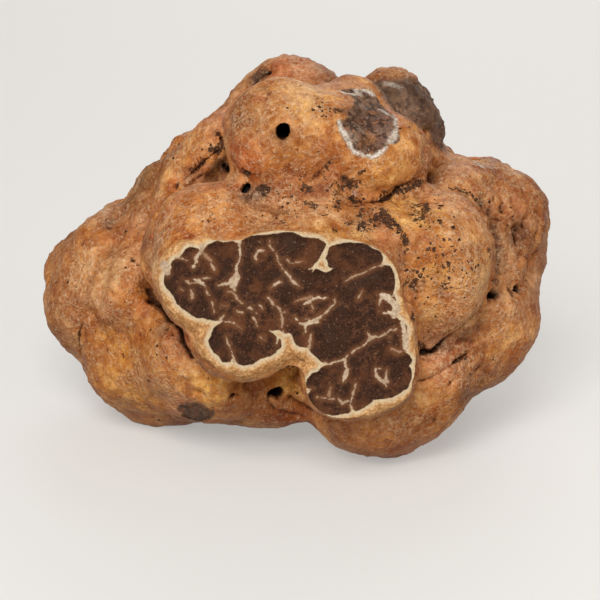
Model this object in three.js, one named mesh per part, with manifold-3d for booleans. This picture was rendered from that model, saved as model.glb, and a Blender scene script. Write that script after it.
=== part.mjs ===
// A bianchetto truffle, Tuber borchii, grown as one lumpy body and shaved once with a truffle slicer.
// Millimetres, +Z up. The truffle rests on Z = 0 and its shaved face looks towards -Y.
//
// The body is five folds that grew into each other. Inside a fold the lobes swell softly together;
// between two folds there is a sharp crease. The skin is where the distance to the nearest lobe is
// nothing: a level set of that distance is the grown solid, which is then shaved, flattened where it
// rests and bored by larvae.
import * as THREE from "three";
import { mergeVertices } from "three/addons/utils/BufferGeometryUtils.js";
import Module from "manifold-3d";

// Driving dimensions.
const GROWN_BOX = { min: [-26, -22, -3], max: [26, 23, 37] }; // holds the whole skin with room to spare
const FACET_EDGE = 1.15; // edge of the tetrahedra that find the skin
const FACET_ERROR = 0.075; // how far the skin may move when small triangles are merged
const MERGE_DISTANCE = 1e-3; // corners of a cutting body nearer than this are one corner

// The gentle unevenness that no grown skin lacks: how far it moves a point, the length of its waves, how
// much quicker they run one way than another, and where they start.
const RIPPLE = { height: 0.35, length: 11.4, rates: [1, 1.3, 1.1, 1, 0.9, 1.2], phases: [1.3, 0.7, 2.1] };
const CREASE = 0.7; // how near two folds come before the bottom of their crease fills in
const REACH = 40; // farther than the truffle is large

// The shaved face goes through a point, and its normal looks towards -Y and up by its lean in degrees.
const SHAVED_FACE = { at: [-0.6, -16.5, 15.1], lean: 15 };

// Larvae left a round hole in the crown's front and one behind its left shoulder.
const WORM_HOLES = [
  { at: [-1.2, -11.3, 30.65], towards: [0.05, 1, -0.15], radius: 0.68, depth: 6 },
  { at: [-3.6, 0.6, 32.4], towards: [0.5, 0.6, -0.8], radius: 0.62, depth: 4 },
];
const TUNNEL_SIDES = 12;

// A lobe is an ellipsoid: its centre, its three radii, how far it leans in the front view
// (anticlockwise, in degrees) and how far round its edge it blends into the lobes before it.
const lobe = (at, radii, lean = 0, blend = 2.5) => ({
  at,
  radii,
  lean: THREE.MathUtils.degToRad(lean),
  blend,
});

const BODY = [
  lobe([0, 3, 14], [16, 13, 11]), // heart of the body
  lobe([-17.9, 4, 10.8], [5.4, 7.5, 7], 0, 1.2), // far left bulge
  lobe([-14.8, 0.5, 13.4], [4.4, 7.5, 4.8], 0, 1.2), // bulge to its right
  lobe([-12, 0.4, 7.1], [8, 7.4, 7.4], -8, 1.2), // lower left, on the ground
  lobe([-7, -5, 8.9], [7.5, 7.6, 6.8], -4, 2), // under the shaved fold, left
  lobe([-1.5, -3.5, 6.5], [5.5, 7, 4.9]), // low middle
  lobe([6.9, -7.2, 6.2], [6.4, 7.5, 6.5], 0, 1.5), // lower right, on the ground
  lobe([11.2, -6, 8], [6, 7.5, 5.2], 40), // joins it to the right flank
  lobe([15.7, -2, 11.2], [6, 7.5, 7], -15, 2), // right flank
  lobe([18.2, 2, 17.6], [4.9, 6.5, 6], 0, 1.2), // far right bulge
  lobe([14.4, -1.5, 19.2], [4.4, 6, 6.1], 0, 1), // right shoulder
  lobe([-16.3, 3, 16.2], [3.8, 4.5, 3.5], 0, 1.2), // left shoulder
  lobe([-9.3, 1, 23.4], [7, 3.6, 2.3], 53, 0.8), // ridge that climbs to the crown
  lobe([-12.8, 2.5, 20.6], [5.4, 3.6, 2.2], 50, 0.8),
  lobe([13.4, 4, 21.2], [3.2, 4.5, 3], 0, 1.2), // two knobs behind the right shoulder
  lobe([17, 4, 20.8], [3.2, 4.5, 3.2], 0, 0.8),
  lobe([0, 5, 21], [10, 8, 8]), // carries the crown
  lobe([4, 0.5, 25.5], [4, 4, 4.2]), // fills the dip behind the crown
  lobe([3, 11.6, 7.6], [9, 8, 7.9], 0, 2), // back, on the ground
  lobe([-10, 10, 9.5], [8, 7.5, 7.8], 20, 1.6), // back left
  lobe([-14.3, 9, 13.2], [5, 5.5, 4.6], 0, 1.2),
  lobe([12.5, 9.5, 9.5], [7.5, 7, 7], -20, 1.6), // back right
  lobe([15.8, 7.5, 14.8], [5, 5.5, 5.2], 0, 1.2),
  lobe([1.8, 12.6, 17], [8.4, 5.4, 5.4], -20, 0.9), // back, half way up, slanting
  lobe([-7.2, 11.4, 16.4], [4.4, 5, 4.6], 0, 0.9),
  lobe([2, 9.5, 23.4], [5.6, 4.8, 4.4], 15, 1.2), // back of the neck
  lobe([11, 8.5, 20], [4.5, 5, 4.6], 30, 0.8),
  lobe([-8.5, 8, 21], [4.4, 4.6, 4], 0, 1),
];

const SHAVED_FOLD = [
  lobe([0, -7, 15.5], [9, 8, 6]), // root, inside the body
  lobe([-7.3, -13.9, 18.2], [4.9, 5.5, 4.2], 0, 1.3), // left of the shaved face
  lobe([-1.5, -13.6, 18.5], [6, 6, 4.1], 0, 1.3),
  lobe([4.1, -13.8, 17.9], [4.5, 6, 4.8], 0, 1.3),
  lobe([-4.7, -14.6, 12.9], [4.3, 5, 3.1], 0, 0.8), // lower left toe
  lobe([0.4, -14.4, 14.6], [4, 5, 2.6], 0, 1.6), // joins the toes
  lobe([5, -15, 14.3], [5.1, 6, 3.9], 0, 1.3),
  lobe([5.2, -15.2, 10.2], [5.4, 5, 3.7], 12, 0.9), // lower right toe
  lobe([7.6, -14.6, 12.6], [3, 5, 2.6], 0, 1.6),
  lobe([-7, -8.5, 19.3], [6.5, 6.5, 5.8], 0, 2), // round shoulder above the face
  lobe([2.5, -8, 20.2], [7, 6.5, 5], 0, 2), // saddle under the crown
  lobe([8, -8.6, 18.2], [5, 6, 6.2], 0, 2),
  lobe([12, -8, 17.6], [5.3, 6.3, 7], 0, 1), // big bulge to the right
];

const CROWN = [
  lobe([-1.3, -5.5, 28.6], [5.2, 5.5, 5]),
  lobe([3.2, -5.1, 28.3], [5, 5, 4.6], 0, 1.6),
  lobe([7.4, -6, 27.1], [4.1, 4.5, 4.2], 0, 1.2),
  lobe([4.6, -2, 29.6], [3.9, 4, 3], 0, 1.6),
  lobe([0.8, -5.2, 24.8], [7, 5.2, 2.8], 0, 1.6), // neck
];

const CROWN_BACK = [
  lobe([-0.2, 3, 29], [5, 4.5, 4.5]),
  lobe([-3.8, 3.5, 27], [3.6, 4, 4], 0, 1.5),
  lobe([0, 3, 23.5], [5, 6, 5], 0, 1.5), // root
];

const DARK_LOBE = [
  lobe([9.1, 4, 26.5], [4, 4.5, 5.9], 14),
  lobe([7, 4, 21], [5.5, 6, 4.5], 0, 1.5), // root
];

const FOLDS = [BODY, SHAVED_FOLD, CROWN, CROWN_BACK, DARK_LOBE];

// Roughly how far a point lies outside an ellipsoid, negative inside it.
function lobeDistance({ at, radii, lean }, [x, y, z]) {
  const [dx, dy, dz] = [x - at[0], y - at[1], z - at[2]];
  const [cos, sin] = [Math.cos(lean), Math.sin(lean)];
  const scaled = [
    (dx * cos + dz * sin) / radii[0],
    dy / radii[1],
    (dz * cos - dx * sin) / radii[2],
  ];
  const length = Math.hypot(...scaled);
  const slope = Math.hypot(...scaled.map((s, i) => s / radii[i]));
  return slope ? (length * (length - 1)) / slope : -Math.min(...radii);
}

// The smaller of two distances, rounded off where they differ by less than blend.
function softMinimum(a, b, blend) {
  const overlap = Math.max(blend - Math.abs(a - b), 0) / blend;
  return Math.min(a, b) - (overlap * overlap * blend) / 4;
}

// Moves a point by the ripple, a different way along each axis.
function rippled([x, y, z]) {
  const { height, length, rates, phases } = RIPPLE;
  const turn = (2 * Math.PI) / length;
  const wave = (a, b, k) =>
    height * Math.sin(turn * rates[2 * k] * a + phases[k]) * Math.cos(turn * rates[2 * k + 1] * b);
  return [x + wave(y, z, 0), y + wave(z, x, 1), z + wave(x, y, 2)];
}

function foldDistance(lobes, point) {
  return lobes.reduce(
    (nearest, each) => softMinimum(nearest, lobeDistance(each, point), each.blend),
    2 * REACH,
  );
}

function skinDistance(point) {
  const moved = rippled(point);
  return FOLDS.map((fold) => foldDistance(fold, moved)).reduce((a, b) => softMinimum(a, b, CREASE));
}

const wasm = await Module();
wasm.setup();

// A closed geometry as a solid that can be joined and cut.
function solidOf(geometry) {
  const bare = new THREE.BufferGeometry()
    .setAttribute("position", geometry.getAttribute("position"))
    .setIndex(geometry.index);
  const closed = mergeVertices(bare, MERGE_DISTANCE);
  return new wasm.Manifold(
    new wasm.Mesh({
      numProp: 3,
      vertProperties: closed.getAttribute("position").array,
      triVerts: new Uint32Array(closed.index.array),
    }),
  );
}

function geometryOf(solid) {
  const { vertProperties, triVerts } = solid.getMesh();
  const geometry = new THREE.BufferGeometry()
    .setAttribute("position", new THREE.BufferAttribute(vertProperties, 3))
    .setIndex(new THREE.BufferAttribute(triVerts, 1));
  geometry.computeVertexNormals();
  return geometry;
}

// Slid along the floor until the middle of its box is over the origin.
function centredOnFloor(geometry) {
  geometry.computeBoundingBox();
  const middle = geometry.boundingBox.getCenter(new THREE.Vector3());
  return geometry.translate(-middle.x, -middle.y, 0);
}

// Everything on the far side of a plane through a point, as a slab that is larger than the truffle.
function beyondPlane(point, normal) {
  const place = new THREE.Matrix4().compose(
    new THREE.Vector3(...point).addScaledVector(normal, REACH),
    new THREE.Quaternion().setFromUnitVectors(
      new THREE.Vector3(0, 0, 1),
      normal,
    ),
    new THREE.Vector3(1, 1, 1),
  );
  const slab = new THREE.BoxGeometry(2 * REACH, 2 * REACH, 2 * REACH);
  return solidOf(slab.applyMatrix4(place));
}

// A larva's tunnel: a rod that starts outside the skin and goes in along a direction.
function tunnel({ at, towards, radius, depth }) {
  const inwards = new THREE.Vector3(...towards).normalize();
  const place = new THREE.Matrix4().compose(
    new THREE.Vector3(...at),
    new THREE.Quaternion().setFromUnitVectors(
      new THREE.Vector3(0, 1, 0),
      inwards,
    ),
    new THREE.Vector3(1, 1, 1),
  );
  const rod = new THREE.CylinderGeometry(radius, radius, 2 * depth, TUNNEL_SIDES);
  return solidOf(rod.applyMatrix4(place));
}

function truffleGeometry() {
  const leaning = THREE.MathUtils.degToRad(SHAVED_FACE.lean);
  const shavedNormal = new THREE.Vector3(0, -Math.cos(leaning), Math.sin(leaning));
  const down = new THREE.Vector3(0, 0, -1);
  const grown = wasm.Manifold.levelSet((point) => -skinDistance(point), GROWN_BOX, FACET_EDGE);
  const shaved = grown
    .subtract(beyondPlane(SHAVED_FACE.at, shavedNormal))
    .subtract(beyondPlane([0, 0, 0], down))
    .simplify(FACET_ERROR);
  const bored = WORM_HOLES.reduce((solid, hole) => solid.subtract(tunnel(hole)), shaved);
  return centredOnFloor(geometryOf(bored));
}

const truffle = new THREE.Mesh(
  truffleGeometry(),
  new THREE.MeshStandardMaterial({ color: "#c48a55", roughness: 0.62, metalness: 0 }),
);
truffle.name = "truffle";

const part = new THREE.Group();
part.add(truffle);
export default part;
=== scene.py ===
# %% [markdown]
# # A bianchetto truffle, shaved once
# A truffle is a lump of folded flesh in a thin skin. One slice of a truffle shaver has opened a flat face
# on it: dark marbled flesh inside, a pale rind round it, and ochre skin everywhere else, freckled with
# soil. The lump's big shapes come from the measured model; here it gets its creases, its marbling and its
# finish.

# %% Tools and the measured model
import math
from contextlib import contextmanager

import bmesh
import bpy
import numpy as np
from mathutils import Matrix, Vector, geometry, noise
from mathutils.bvhtree import BVHTree


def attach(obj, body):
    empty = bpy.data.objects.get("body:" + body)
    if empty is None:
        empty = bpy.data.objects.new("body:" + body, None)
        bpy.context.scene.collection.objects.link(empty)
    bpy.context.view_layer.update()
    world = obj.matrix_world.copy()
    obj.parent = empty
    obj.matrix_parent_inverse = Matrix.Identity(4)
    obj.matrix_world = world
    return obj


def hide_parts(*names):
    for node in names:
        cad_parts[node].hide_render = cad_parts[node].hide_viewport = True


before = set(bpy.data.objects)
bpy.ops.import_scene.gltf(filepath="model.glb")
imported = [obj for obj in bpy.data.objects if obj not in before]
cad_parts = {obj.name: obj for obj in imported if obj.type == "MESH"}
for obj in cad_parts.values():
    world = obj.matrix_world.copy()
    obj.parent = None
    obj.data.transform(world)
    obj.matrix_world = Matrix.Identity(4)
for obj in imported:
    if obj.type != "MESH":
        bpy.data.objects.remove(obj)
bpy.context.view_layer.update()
MM = 0.001
noise.seed_set(7)


# %% [markdown]
# ## The camera comes first
# Many details below are told as places in the front view, the way a painter would point at them: so many
# millimetres across and up from the middle of the view. A line of sight through such a place finds it on
# the skin.

# %% Camera and lines of sight
LOOK_AT = Vector((0.401, -1.947, 12.10))  # mm, as all places and sizes below
DISTANCE = 250.0
ELEVATION = math.radians(20)
SEEN_WIDTH = 54.0
SENSOR = 36.0
RIGHT = Vector((1, 0, 0))
BACK = Vector((0, -math.cos(ELEVATION), math.sin(ELEVATION)))
UPWARD = BACK.cross(RIGHT)
EYE = LOOK_AT + BACK * DISTANCE


def sight(across, up):
    """Where the eye is, and the direction through a place in the view's middle plane."""
    return EYE, (LOOK_AT + RIGHT * across + UPWARD * up - EYE).normalized()


def in_view(points):
    """Across and up in the front view for points in millimetres."""
    offset = points - np.array(LOOK_AT)
    nearer = DISTANCE / (DISTANCE - offset @ np.array(BACK))
    return np.stack([(offset @ np.array(RIGHT)) * nearer, (offset @ np.array(UPWARD)) * nearer], axis=1)


bpy.ops.object.camera_add()
camera = bpy.context.object
camera.name = "camera"
camera.location = EYE * MM
camera.rotation_euler = BACK.to_track_quat("Z", "Y").to_euler()
camera.data.sensor_width = SENSOR
camera.data.lens = SENSOR * DISTANCE / SEEN_WIDTH
camera.data.dof.use_dof = False
camera.data.clip_start = 0.01
bpy.context.scene.camera = camera
print("lens, mm:", round(camera.data.lens, 1))


# %% [markdown]
# ## Small tools for shaping a mesh in code
# The skin is sculpted point by point. These helpers read a mesh's points as rows of millimetres, write
# them back, and say who neighbours whom, so that a surface can be smoothed the way a sculptor's smooth
# brush does.

# %% Mesh helpers
def points_of(mesh, what="co"):
    flat = np.empty(len(mesh.vertices) * 3)
    mesh.vertices.foreach_get(what, flat)
    return flat.reshape(-1, 3) * (1 / MM if what == "co" else 1)


def put_points(mesh, points):
    mesh.vertices.foreach_set("co", (points * MM).ravel())
    mesh.update()


def keep_numbers(mesh, name, values):
    """Puts a number on every point, for the finishes to read."""
    layer = mesh.attributes.new(name, "FLOAT", "POINT")
    layer.data.foreach_set("value", np.ascontiguousarray(values, dtype=np.float32))


def new_piece(name, mesh):
    piece = bpy.data.objects.new(name, mesh)
    bpy.context.scene.collection.objects.link(piece)
    return piece


def pick_only(piece):
    bpy.ops.object.select_all(action="DESELECT")
    piece.select_set(True)
    bpy.context.view_layer.objects.active = piece


@contextmanager
def editing(piece):
    """Edit mode, for the tools that work on what is selected."""
    pick_only(piece)
    bpy.ops.object.mode_set(mode="EDIT")
    yield
    bpy.ops.object.mode_set(mode="OBJECT")


def finish_with(piece, kind, **settings):
    """Adds a modifier and applies it."""
    pick_only(piece)
    modifier = piece.modifiers.new(kind, kind)
    for key, value in settings.items():
        setattr(modifier, key, value)
    bpy.ops.object.modifier_apply(modifier=modifier.name)


class Neighbours:
    """Means over each point's neighbours along the mesh's edges."""

    def __init__(self, mesh):
        pairs = np.empty(len(mesh.edges) * 2, dtype=np.int64)
        mesh.edges.foreach_get("vertices", pairs)
        self.a, self.b = pairs.reshape(-1, 2).T
        self.many = len(mesh.vertices)
        self.count = np.bincount(pairs, minlength=self.many)

    def mean(self, values):
        columns = values.reshape(self.many, -1)
        out = np.empty_like(columns)
        for k in range(columns.shape[1]):
            total = np.bincount(self.a, columns[self.b, k], self.many)
            total += np.bincount(self.b, columns[self.a, k], self.many)
            out[:, k] = total / self.count
        return out.reshape(values.shape)

    def soften(self, values, times, keep_volume=False):
        """Smooths so many times; to keep the volume, each step is followed by a step back."""
        for _ in range(times):
            values = values + 0.5 * (self.mean(values) - values)
            if keep_volume:
                values = values - 0.53 * (self.mean(values) - values)
        return values


def step(low, high, value):
    """0 below low, 1 above high, smooth between."""
    t = np.clip((value - low) / (high - low), 0, 1)
    return t * t * (3 - 2 * t)


def clouds(points, size, octaves=3, seed=0.0):
    """Cloudy noise from about -1 to 1 with lumps of that size, in millimetres."""
    shift = Vector((seed, seed * 1.7, -seed))
    return np.array([noise.fractal(Vector(p) / size + shift, 0.9, 2.0, octaves) for p in points])


def cobbles(points, size, seed=0.0):
    """Small domes of that size with furrows between them: 0 in a furrow, 1 on a dome."""
    shift = Vector((seed, -seed, seed * 0.7))
    furrow = []
    for p in points:
        v = Vector(p) / size + shift
        nearest = noise.voronoi(v + noise.noise_vector(v) * 0.5)[0]
        furrow.append(nearest[1] - nearest[0])
    return step(0.0, 0.5, np.array(furrow))


# %% [markdown]
# ## The lump
# The measured model has coarse facets. A copy of it is merged and its flat face is pulled out a little, so
# that the next steps can't round the face's rim. Then it gets an even net of small squares (Remesh) and is
# smoothed without losing volume, which leaves a soft lump that is ready to be sculpted.

# %% Copy the measured lump
FACE_LEAN = math.radians(15)
FACE_NORMAL = Vector((0, -math.cos(FACE_LEAN), math.sin(FACE_LEAN)))
PARALLEL = 0.9999  # the least cosine between the normals of parallel faces
SAME_POINT = 0.005  # corners closer than this are one
NET = 0.36  # side of the net's squares
SMOOTHINGS = 26

truffle = new_piece("truffle_body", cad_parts["truffle"].data.copy())
mesh = truffle.data
with editing(truffle):
    bpy.ops.mesh.select_all(action="SELECT")
    bpy.ops.mesh.remove_doubles(threshold=SAME_POINT * MM)
    bpy.ops.mesh.select_all(action="DESELECT")


def towards_blade(polygon):
    return (Vector(polygon.center) / MM).dot(FACE_NORMAL)


parallel = [p for p in mesh.polygons if p.normal.dot(FACE_NORMAL) > PARALLEL]
face_at = max(towards_blade(p) for p in parallel)
for polygon in parallel:
    polygon.select = abs(towards_blade(polygon) - face_at) < 0.01
shaved_area = sum(p.area for p in mesh.polygons if p.select) / MM**2
with editing(truffle):
    bpy.ops.mesh.extrude_region_move(TRANSFORM_OT_translate={"value": FACE_NORMAL * MM})
print("shaved face:", round(shaved_area, 1), "mm2, at", round(face_at, 3))

# %% An even net, smoothed
finish_with(truffle, "REMESH", mode="VOXEL", voxel_size=NET * MM)
mesh = truffle.data
net = Neighbours(mesh)
points = net.soften(points_of(mesh), SMOOTHINGS, keep_volume=True)
put_points(mesh, points)
print("net:", len(mesh.vertices), "points")


# %% [markdown]
# ## Pointing at the skin
# Creases, scars, pits and stains are told as lines and spots in the front view. A line of sight lays each
# of them on the skin, and the distance from there says how much a point of the skin takes part.

# %% Lines and spots laid on the skin
BATCH = 4_000_000  # so many distances are worked out at once


def tree_of(points, mesh):
    return BVHTree.FromPolygons([Vector(p) for p in points], [tuple(p.vertices) for p in mesh.polygons])


tree = tree_of(points, mesh)


def on_skin(across, up):
    """The place on the skin that a line of sight finds, or the nearest one to it where it passes by."""
    eye, towards = sight(across, up)
    return np.array(tree.ray_cast(eye, towards)[0] or tree.find_nearest(eye + towards * DISTANCE)[0])


def along(line, every=0.12):
    """Places along a line of two or more (across, up, ...) places; what comes after up changes evenly."""
    places = []
    for a, b in zip(line, line[1:]):
        steps = max(1, math.ceil(math.hypot(b[0] - a[0], b[1] - a[1]) / every))
        for k in range(steps + 1):
            places.append([p + (q - p) * k / steps for p, q in zip(a, b)])
    return places


def laid_on_skin(line):
    """Points on the skin along a line of (across, up) places."""
    hits = [tree.ray_cast(*sight(x, y))[0] for x, y in along(line)]
    return np.array([hit for hit in hits if hit])


def around(points, across, up, reach):
    """1 at a place on the skin, fading out softly over the reach."""
    return np.exp(-((points - on_skin(across, up)) ** 2).sum(1) / reach**2)


def nearest(spots, points):
    """For each point the nearest spot's number and how far it is."""
    which, gap = np.empty(len(points), int), np.empty(len(points))
    for part in np.array_split(np.arange(len(points)), max(1, len(points) * len(spots) // BATCH)):
        squares = ((points[part, None] - spots[None]) ** 2).sum(2)
        which[part] = squares.argmin(1)
        gap[part] = np.sqrt(squares.min(1))
    return which, gap


def distance_to(spots, points, reach):
    """How far each point is from the nearest spot; reach where it is farther than that."""
    far = np.full(len(points), float(reach))
    low, high = spots.min(0) - reach, spots.max(0) + reach
    near = np.flatnonzero(((points > low) & (points < high)).all(1))
    far[near] = np.minimum(reach, nearest(spots, points[near])[1])
    return far


def inside_of(ends, places):
    """Even-odd test: which places lie inside the closed outline made of these edges."""
    (x0, y0), (x1, y1) = ends[:, 0].T, ends[:, 1].T
    out = np.zeros(len(places), bool)
    for k in range(len(ends)):
        crosses = (y0[k] > places[:, 1]) != (y1[k] > places[:, 1])
        if y1[k] != y0[k]:
            slope = (x1[k] - x0[k]) * (places[:, 1] - y0[k]) / (y1[k] - y0[k])
            out ^= crosses & (places[:, 0] < slope + x0[k])
    return out


def gap_to_edges(ends, places):
    """Distance from places to the nearest edge."""
    best = np.full(len(places), 1e9)
    for a, b in ends:
        edge = b - a
        t = np.clip(((places - a) @ edge) / max(edge @ edge, 1e-12), 0, 1)
        best = np.minimum(best, np.hypot(*(places - a - t[:, None] * edge).T))
    return best


def depth_inside(outline, points):
    """How deep inside a closed outline each point lies in the front view; below 0 outside."""
    ring, places = np.array(outline), in_view(points)
    ends = np.stack([ring, np.roll(ring, -1, axis=0)], axis=1)
    return gap_to_edges(ends, places) * np.where(inside_of(ends, places), 1, -1)


def depth_in_strokes(strokes, points):
    """How deep in brush strokes each point lies, and how strong the stroke is that lies over it.
    Strokes are gathered by their strength; each is a line of (across, up, half width) places."""
    best, strength = np.full(len(points), -1.0), np.zeros(len(points))
    spots = [(strong, *place) for strong, lines in strokes.items()
             for line in lines for place in along(line)]
    for strong, x, y, width in spots:
        spot = on_skin(x, y)
        near = np.flatnonzero((np.abs(points - spot) < width + 1).all(1))
        depth = width - np.sqrt(((points[near] - spot) ** 2).sum(1))
        over = depth > best[near]
        best[near[over]] = depth[over]
        strength[near[over]] = strong
    return best, strength


# %% [markdown]
# ## Where things are on the skin
# Folds of a truffle meet in creases, worms and insects leave pits, and knocks leave scars. Each crease is
# told as its half width, its depth and its line; each pit as its place, radius and depth; each scar as its
# outline. Along the bulge a narrow crease lies in a broad one, because its walls lean over the crack.

# %% Creases
CREASES = [
    # under the crown, from its left edge round to its right edge
    (0.8, 0.5, [(-6.6, 16.0), (-7.2, 14.8), (-7.5, 13.6), (-7.0, 12.3), (-5.9, 11.5)]),
    (0.7, 0.45, [(-5.9, 11.5), (-4.9, 10.8), (-3.9, 10.2), (-2.9, 9.9)]),
    (0.8, 0.65, [(4.0, 9.9), (4.6, 9.3), (6.0, 9.1), (7.3, 9.2), (8.3, 9.35), (9.0, 9.8), (9.8, 10.2),
                 (10.5, 10.6), (11.1, 11.1), (11.4, 12.1), (11.4, 13.1), (11.5, 14.0)]),
    (0.4, 0.18, [(0.6, 10.9), (1.2, 11.1), (2.0, 11.6), (2.5, 12.2), (2.9, 12.5)]),
    (0.4, 0.2, [(3.9, 10.9), (4.5, 10.4), (5.4, 10.5)]),
    (0.3, 0.7, [(4.6, 9.35), (6.0, 9.1), (7.3, 9.2), (8.3, 9.35), (9.0, 9.75), (9.8, 10.2), (10.6, 10.7)]),
    # the saddle between the crown and the shaved face
    (0.5, 0.2, [(-2.0, 9.4), (-1.0, 9.3), (0.0, 8.8), (0.7, 8.7), (1.4, 8.3)]),
    (0.6, 0.16, [(-3.3, 7.5), (-2.4, 7.1), (-1.0, 7.1), (0.6, 7.5)]),
    (0.7, 0.25, [(3.2, 6.7), (4.5, 6.9), (5.8, 6.8), (6.6, 7.2), (7.6, 7.3)]),
    (0.9, 0.4, [(6.6, 7.3), (7.8, 7.1), (8.6, 6.6), (9.1, 6.0), (9.4, 5.2), (9.4, 4.0), (9.5, 2.6),
                (9.9, 1.2)]),
    # round the big bulge
    (0.6, 0.95, [(12.9, 10.2), (13.9, 10.0), (14.7, 9.8), (15.5, 9.4), (16.2, 8.6), (16.7, 7.7),
                 (17.2, 6.6), (17.5, 5.6), (17.5, 4.9)]),
    (0.35, 0.15, [(13.1, 9.2), (13.7, 8.8), (14.3, 8.2)]),
    (0.35, 0.15, [(12.0, 8.9), (12.4, 8.7), (12.8, 8.4)]),
    (0.6, 0.9, [(17.5, 5.2), (17.6, 4.2), (17.55, 3.2)]),
    (0.9, 0.75, [(17.5, 3.2), (17.4, 2.0), (17.2, 0.8), (16.9, -0.2), (16.4, -1.2), (15.6, -2.0),
                 (14.6, -2.9), (13.3, -3.9), (12.0, -4.4), (11.1, -4.6)]),
    (0.32, 0.9, [(17.5, 2.4), (17.3, 1.2), (17.0, 0.1), (16.4, -1.1), (15.5, -2.1), (14.5, -3.0),
                 (13.3, -3.9), (12.1, -4.5), (11.1, -4.7)]),
    (1.2, 0.8, [(16.3, 9.3), (17.3, 7.9), (17.9, 6.4), (18.1, 4.7), (18.1, 3.2), (17.9, 1.8)]),
    # the right flank
    (0.3, 0.6, [(16.8, -0.6), (17.4, 0.2), (18.1, 0.7)]),
    (0.3, 0.6, [(19.3, 6.8), (19.5, 6.0), (19.7, 5.2), (19.9, 4.6)]),
    (0.35, 0.8, [(13.9, -5.7), (14.6, -5.3), (15.2, -4.9)]),
    (0.8, 0.8, [(17.1, 0.1), (17.8, 0.7), (18.6, 1.2), (19.4, 1.2)]),
    (0.6, 0.4, [(9.6, -8.1), (10.9, -7.5), (12.2, -7.0), (13.3, -6.2), (14.2, -5.7), (15.1, -5.15)]),
    (0.5, 0.35, [(11.3, -5.3), (12.0, -5.2), (12.6, -5.0)]),
    (0.9, 0.35, [(12.4, -3.9), (14.0, -3.4), (15.4, -2.5), (16.6, -1.4)]),
    (0.8, 0.55, [(19.1, 9.1), (19.6, 8.0), (19.3, 7.0), (19.2, 6.1), (19.8, 5.2), (20.1, 4.3)]),
    (0.6, 0.4, [(20.2, 7.4), (20.4, 6.3), (20.2, 5.3)]),
    (0.6, 0.35, [(20.1, 4.3), (20.8, 3.6), (21.0, 2.9), (20.6, 2.0)]),
    (0.7, 0.35, [(15.6, 12.6), (16.3, 11.6), (16.9, 10.9), (18.3, 9.8), (19.0, 9.0)]),
    (0.7, 0.4, [(14.9, 14.0), (15.9, 13.0), (16.6, 12.6), (17.9, 12.3), (19.2, 11.8), (20.4, 11.7)]),
    # under the lip of the shaved fold
    (1.0, 1.05, [(-13.9, 2.2), (-13.6, 1.2), (-13.2, 0.2), (-12.6, -0.8), (-11.9, -1.6), (-11.2, -2.2),
                 (-11.0, -3.1), (-10.6, -4.1), (-9.95, -5.1), (-9.1, -5.95), (-8.0, -6.6), (-6.7, -7.1)
                 ]),
    (0.6, 1.0, [(-13.8, 1.9), (-13.2, 0.1), (-12.3, -1.3), (-11.2, -2.3), (-10.8, -3.5), (-9.95, -5.05),
                (-9.0, -6.0), (-8.0, -6.6), (-6.7, -7.05)]),
    (0.6, 0.6, [(-6.7, -7.1), (-5.5, -7.2), (-4.4, -7.15), (-3.3, -7.1)]),
    (0.7, 0.65, [(10.9, -4.6), (10.9, -5.6), (10.9, -6.6), (10.7, -7.3), (10.2, -8.1), (9.6, -8.8),
                 (8.7, -9.2), (7.6, -9.6), (6.8, -10.0), (5.8, -10.6), (4.6, -10.9), (3.0, -11.0),
                 (2.0, -10.9), (1.0, -10.3), (0.1, -9.6), (-0.7, -8.9)]),
    # the left side
    (0.35, 0.5, [(-19.6, -7.0), (-20.0, -6.0), (-20.2, -4.5), (-20.1, -3.0), (-19.6, -2.0)]),
    (0.9, 0.65, [(-20.0, -6.3), (-20.2, -4.5), (-20.1, -3.0), (-19.6, -2.0), (-18.9, -1.3),
                 (-18.4, -0.3), (-18.1, 1.0), (-18.0, 2.2), (-17.6, 3.4), (-17.2, 4.6), (-16.2, 5.3)]),
    (0.6, 0.5, [(-11.0, 10.9), (-9.9, 11.5), (-9.2, 11.9), (-8.6, 12.5), (-7.9, 13.0), (-7.3, 13.2)]),
    (0.6, 0.45, [(-13.3, 7.3), (-12.6, 8.5), (-11.7, 9.4), (-11.0, 10.0), (-10.2, 10.3), (-9.3, 10.7),
                 (-8.7, 11.1)]),
    (0.9, 0.45, [(-13.3, 9.9), (-13.0, 11.2), (-12.6, 12.6), (-12.2, 13.6)]),
    (0.9, 0.35, [(-17.0, 9.0), (-15.6, 9.9), (-14.2, 10.1), (-13.2, 10.3)]),
    (0.8, 0.35, [(-11.2, 11.2), (-11.3, 12.3), (-10.5, 13.6)]),
    # low in front
    (0.8, 0.45, [(-5.4, -7.5), (-4.3, -8.1), (-3.4, -9.0), (-3.9, -10.0), (-4.6, -10.9)]),
    (0.6, 0.4, [(-2.9, -9.0), (-2.2, -10.0), (-1.0, -10.4), (0.2, -10.6)]),
    (0.7, 0.35, [(-10.3, -6.6), (-10.1, -7.5), (-9.4, -8.3), (-8.8, -8.7)]),
    # the crown's own folds
    (0.5, 0.2, [(5.2, 17.2), (5.9, 17.05), (6.6, 16.95), (7.3, 16.65)]),
    (0.6, 0.5, [(7.1, 18.5), (7.5, 17.8), (8.1, 17.2), (8.8, 16.5), (9.6, 16.2), (10.5, 15.6),
                (11.3, 15.0)]),
]

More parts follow.
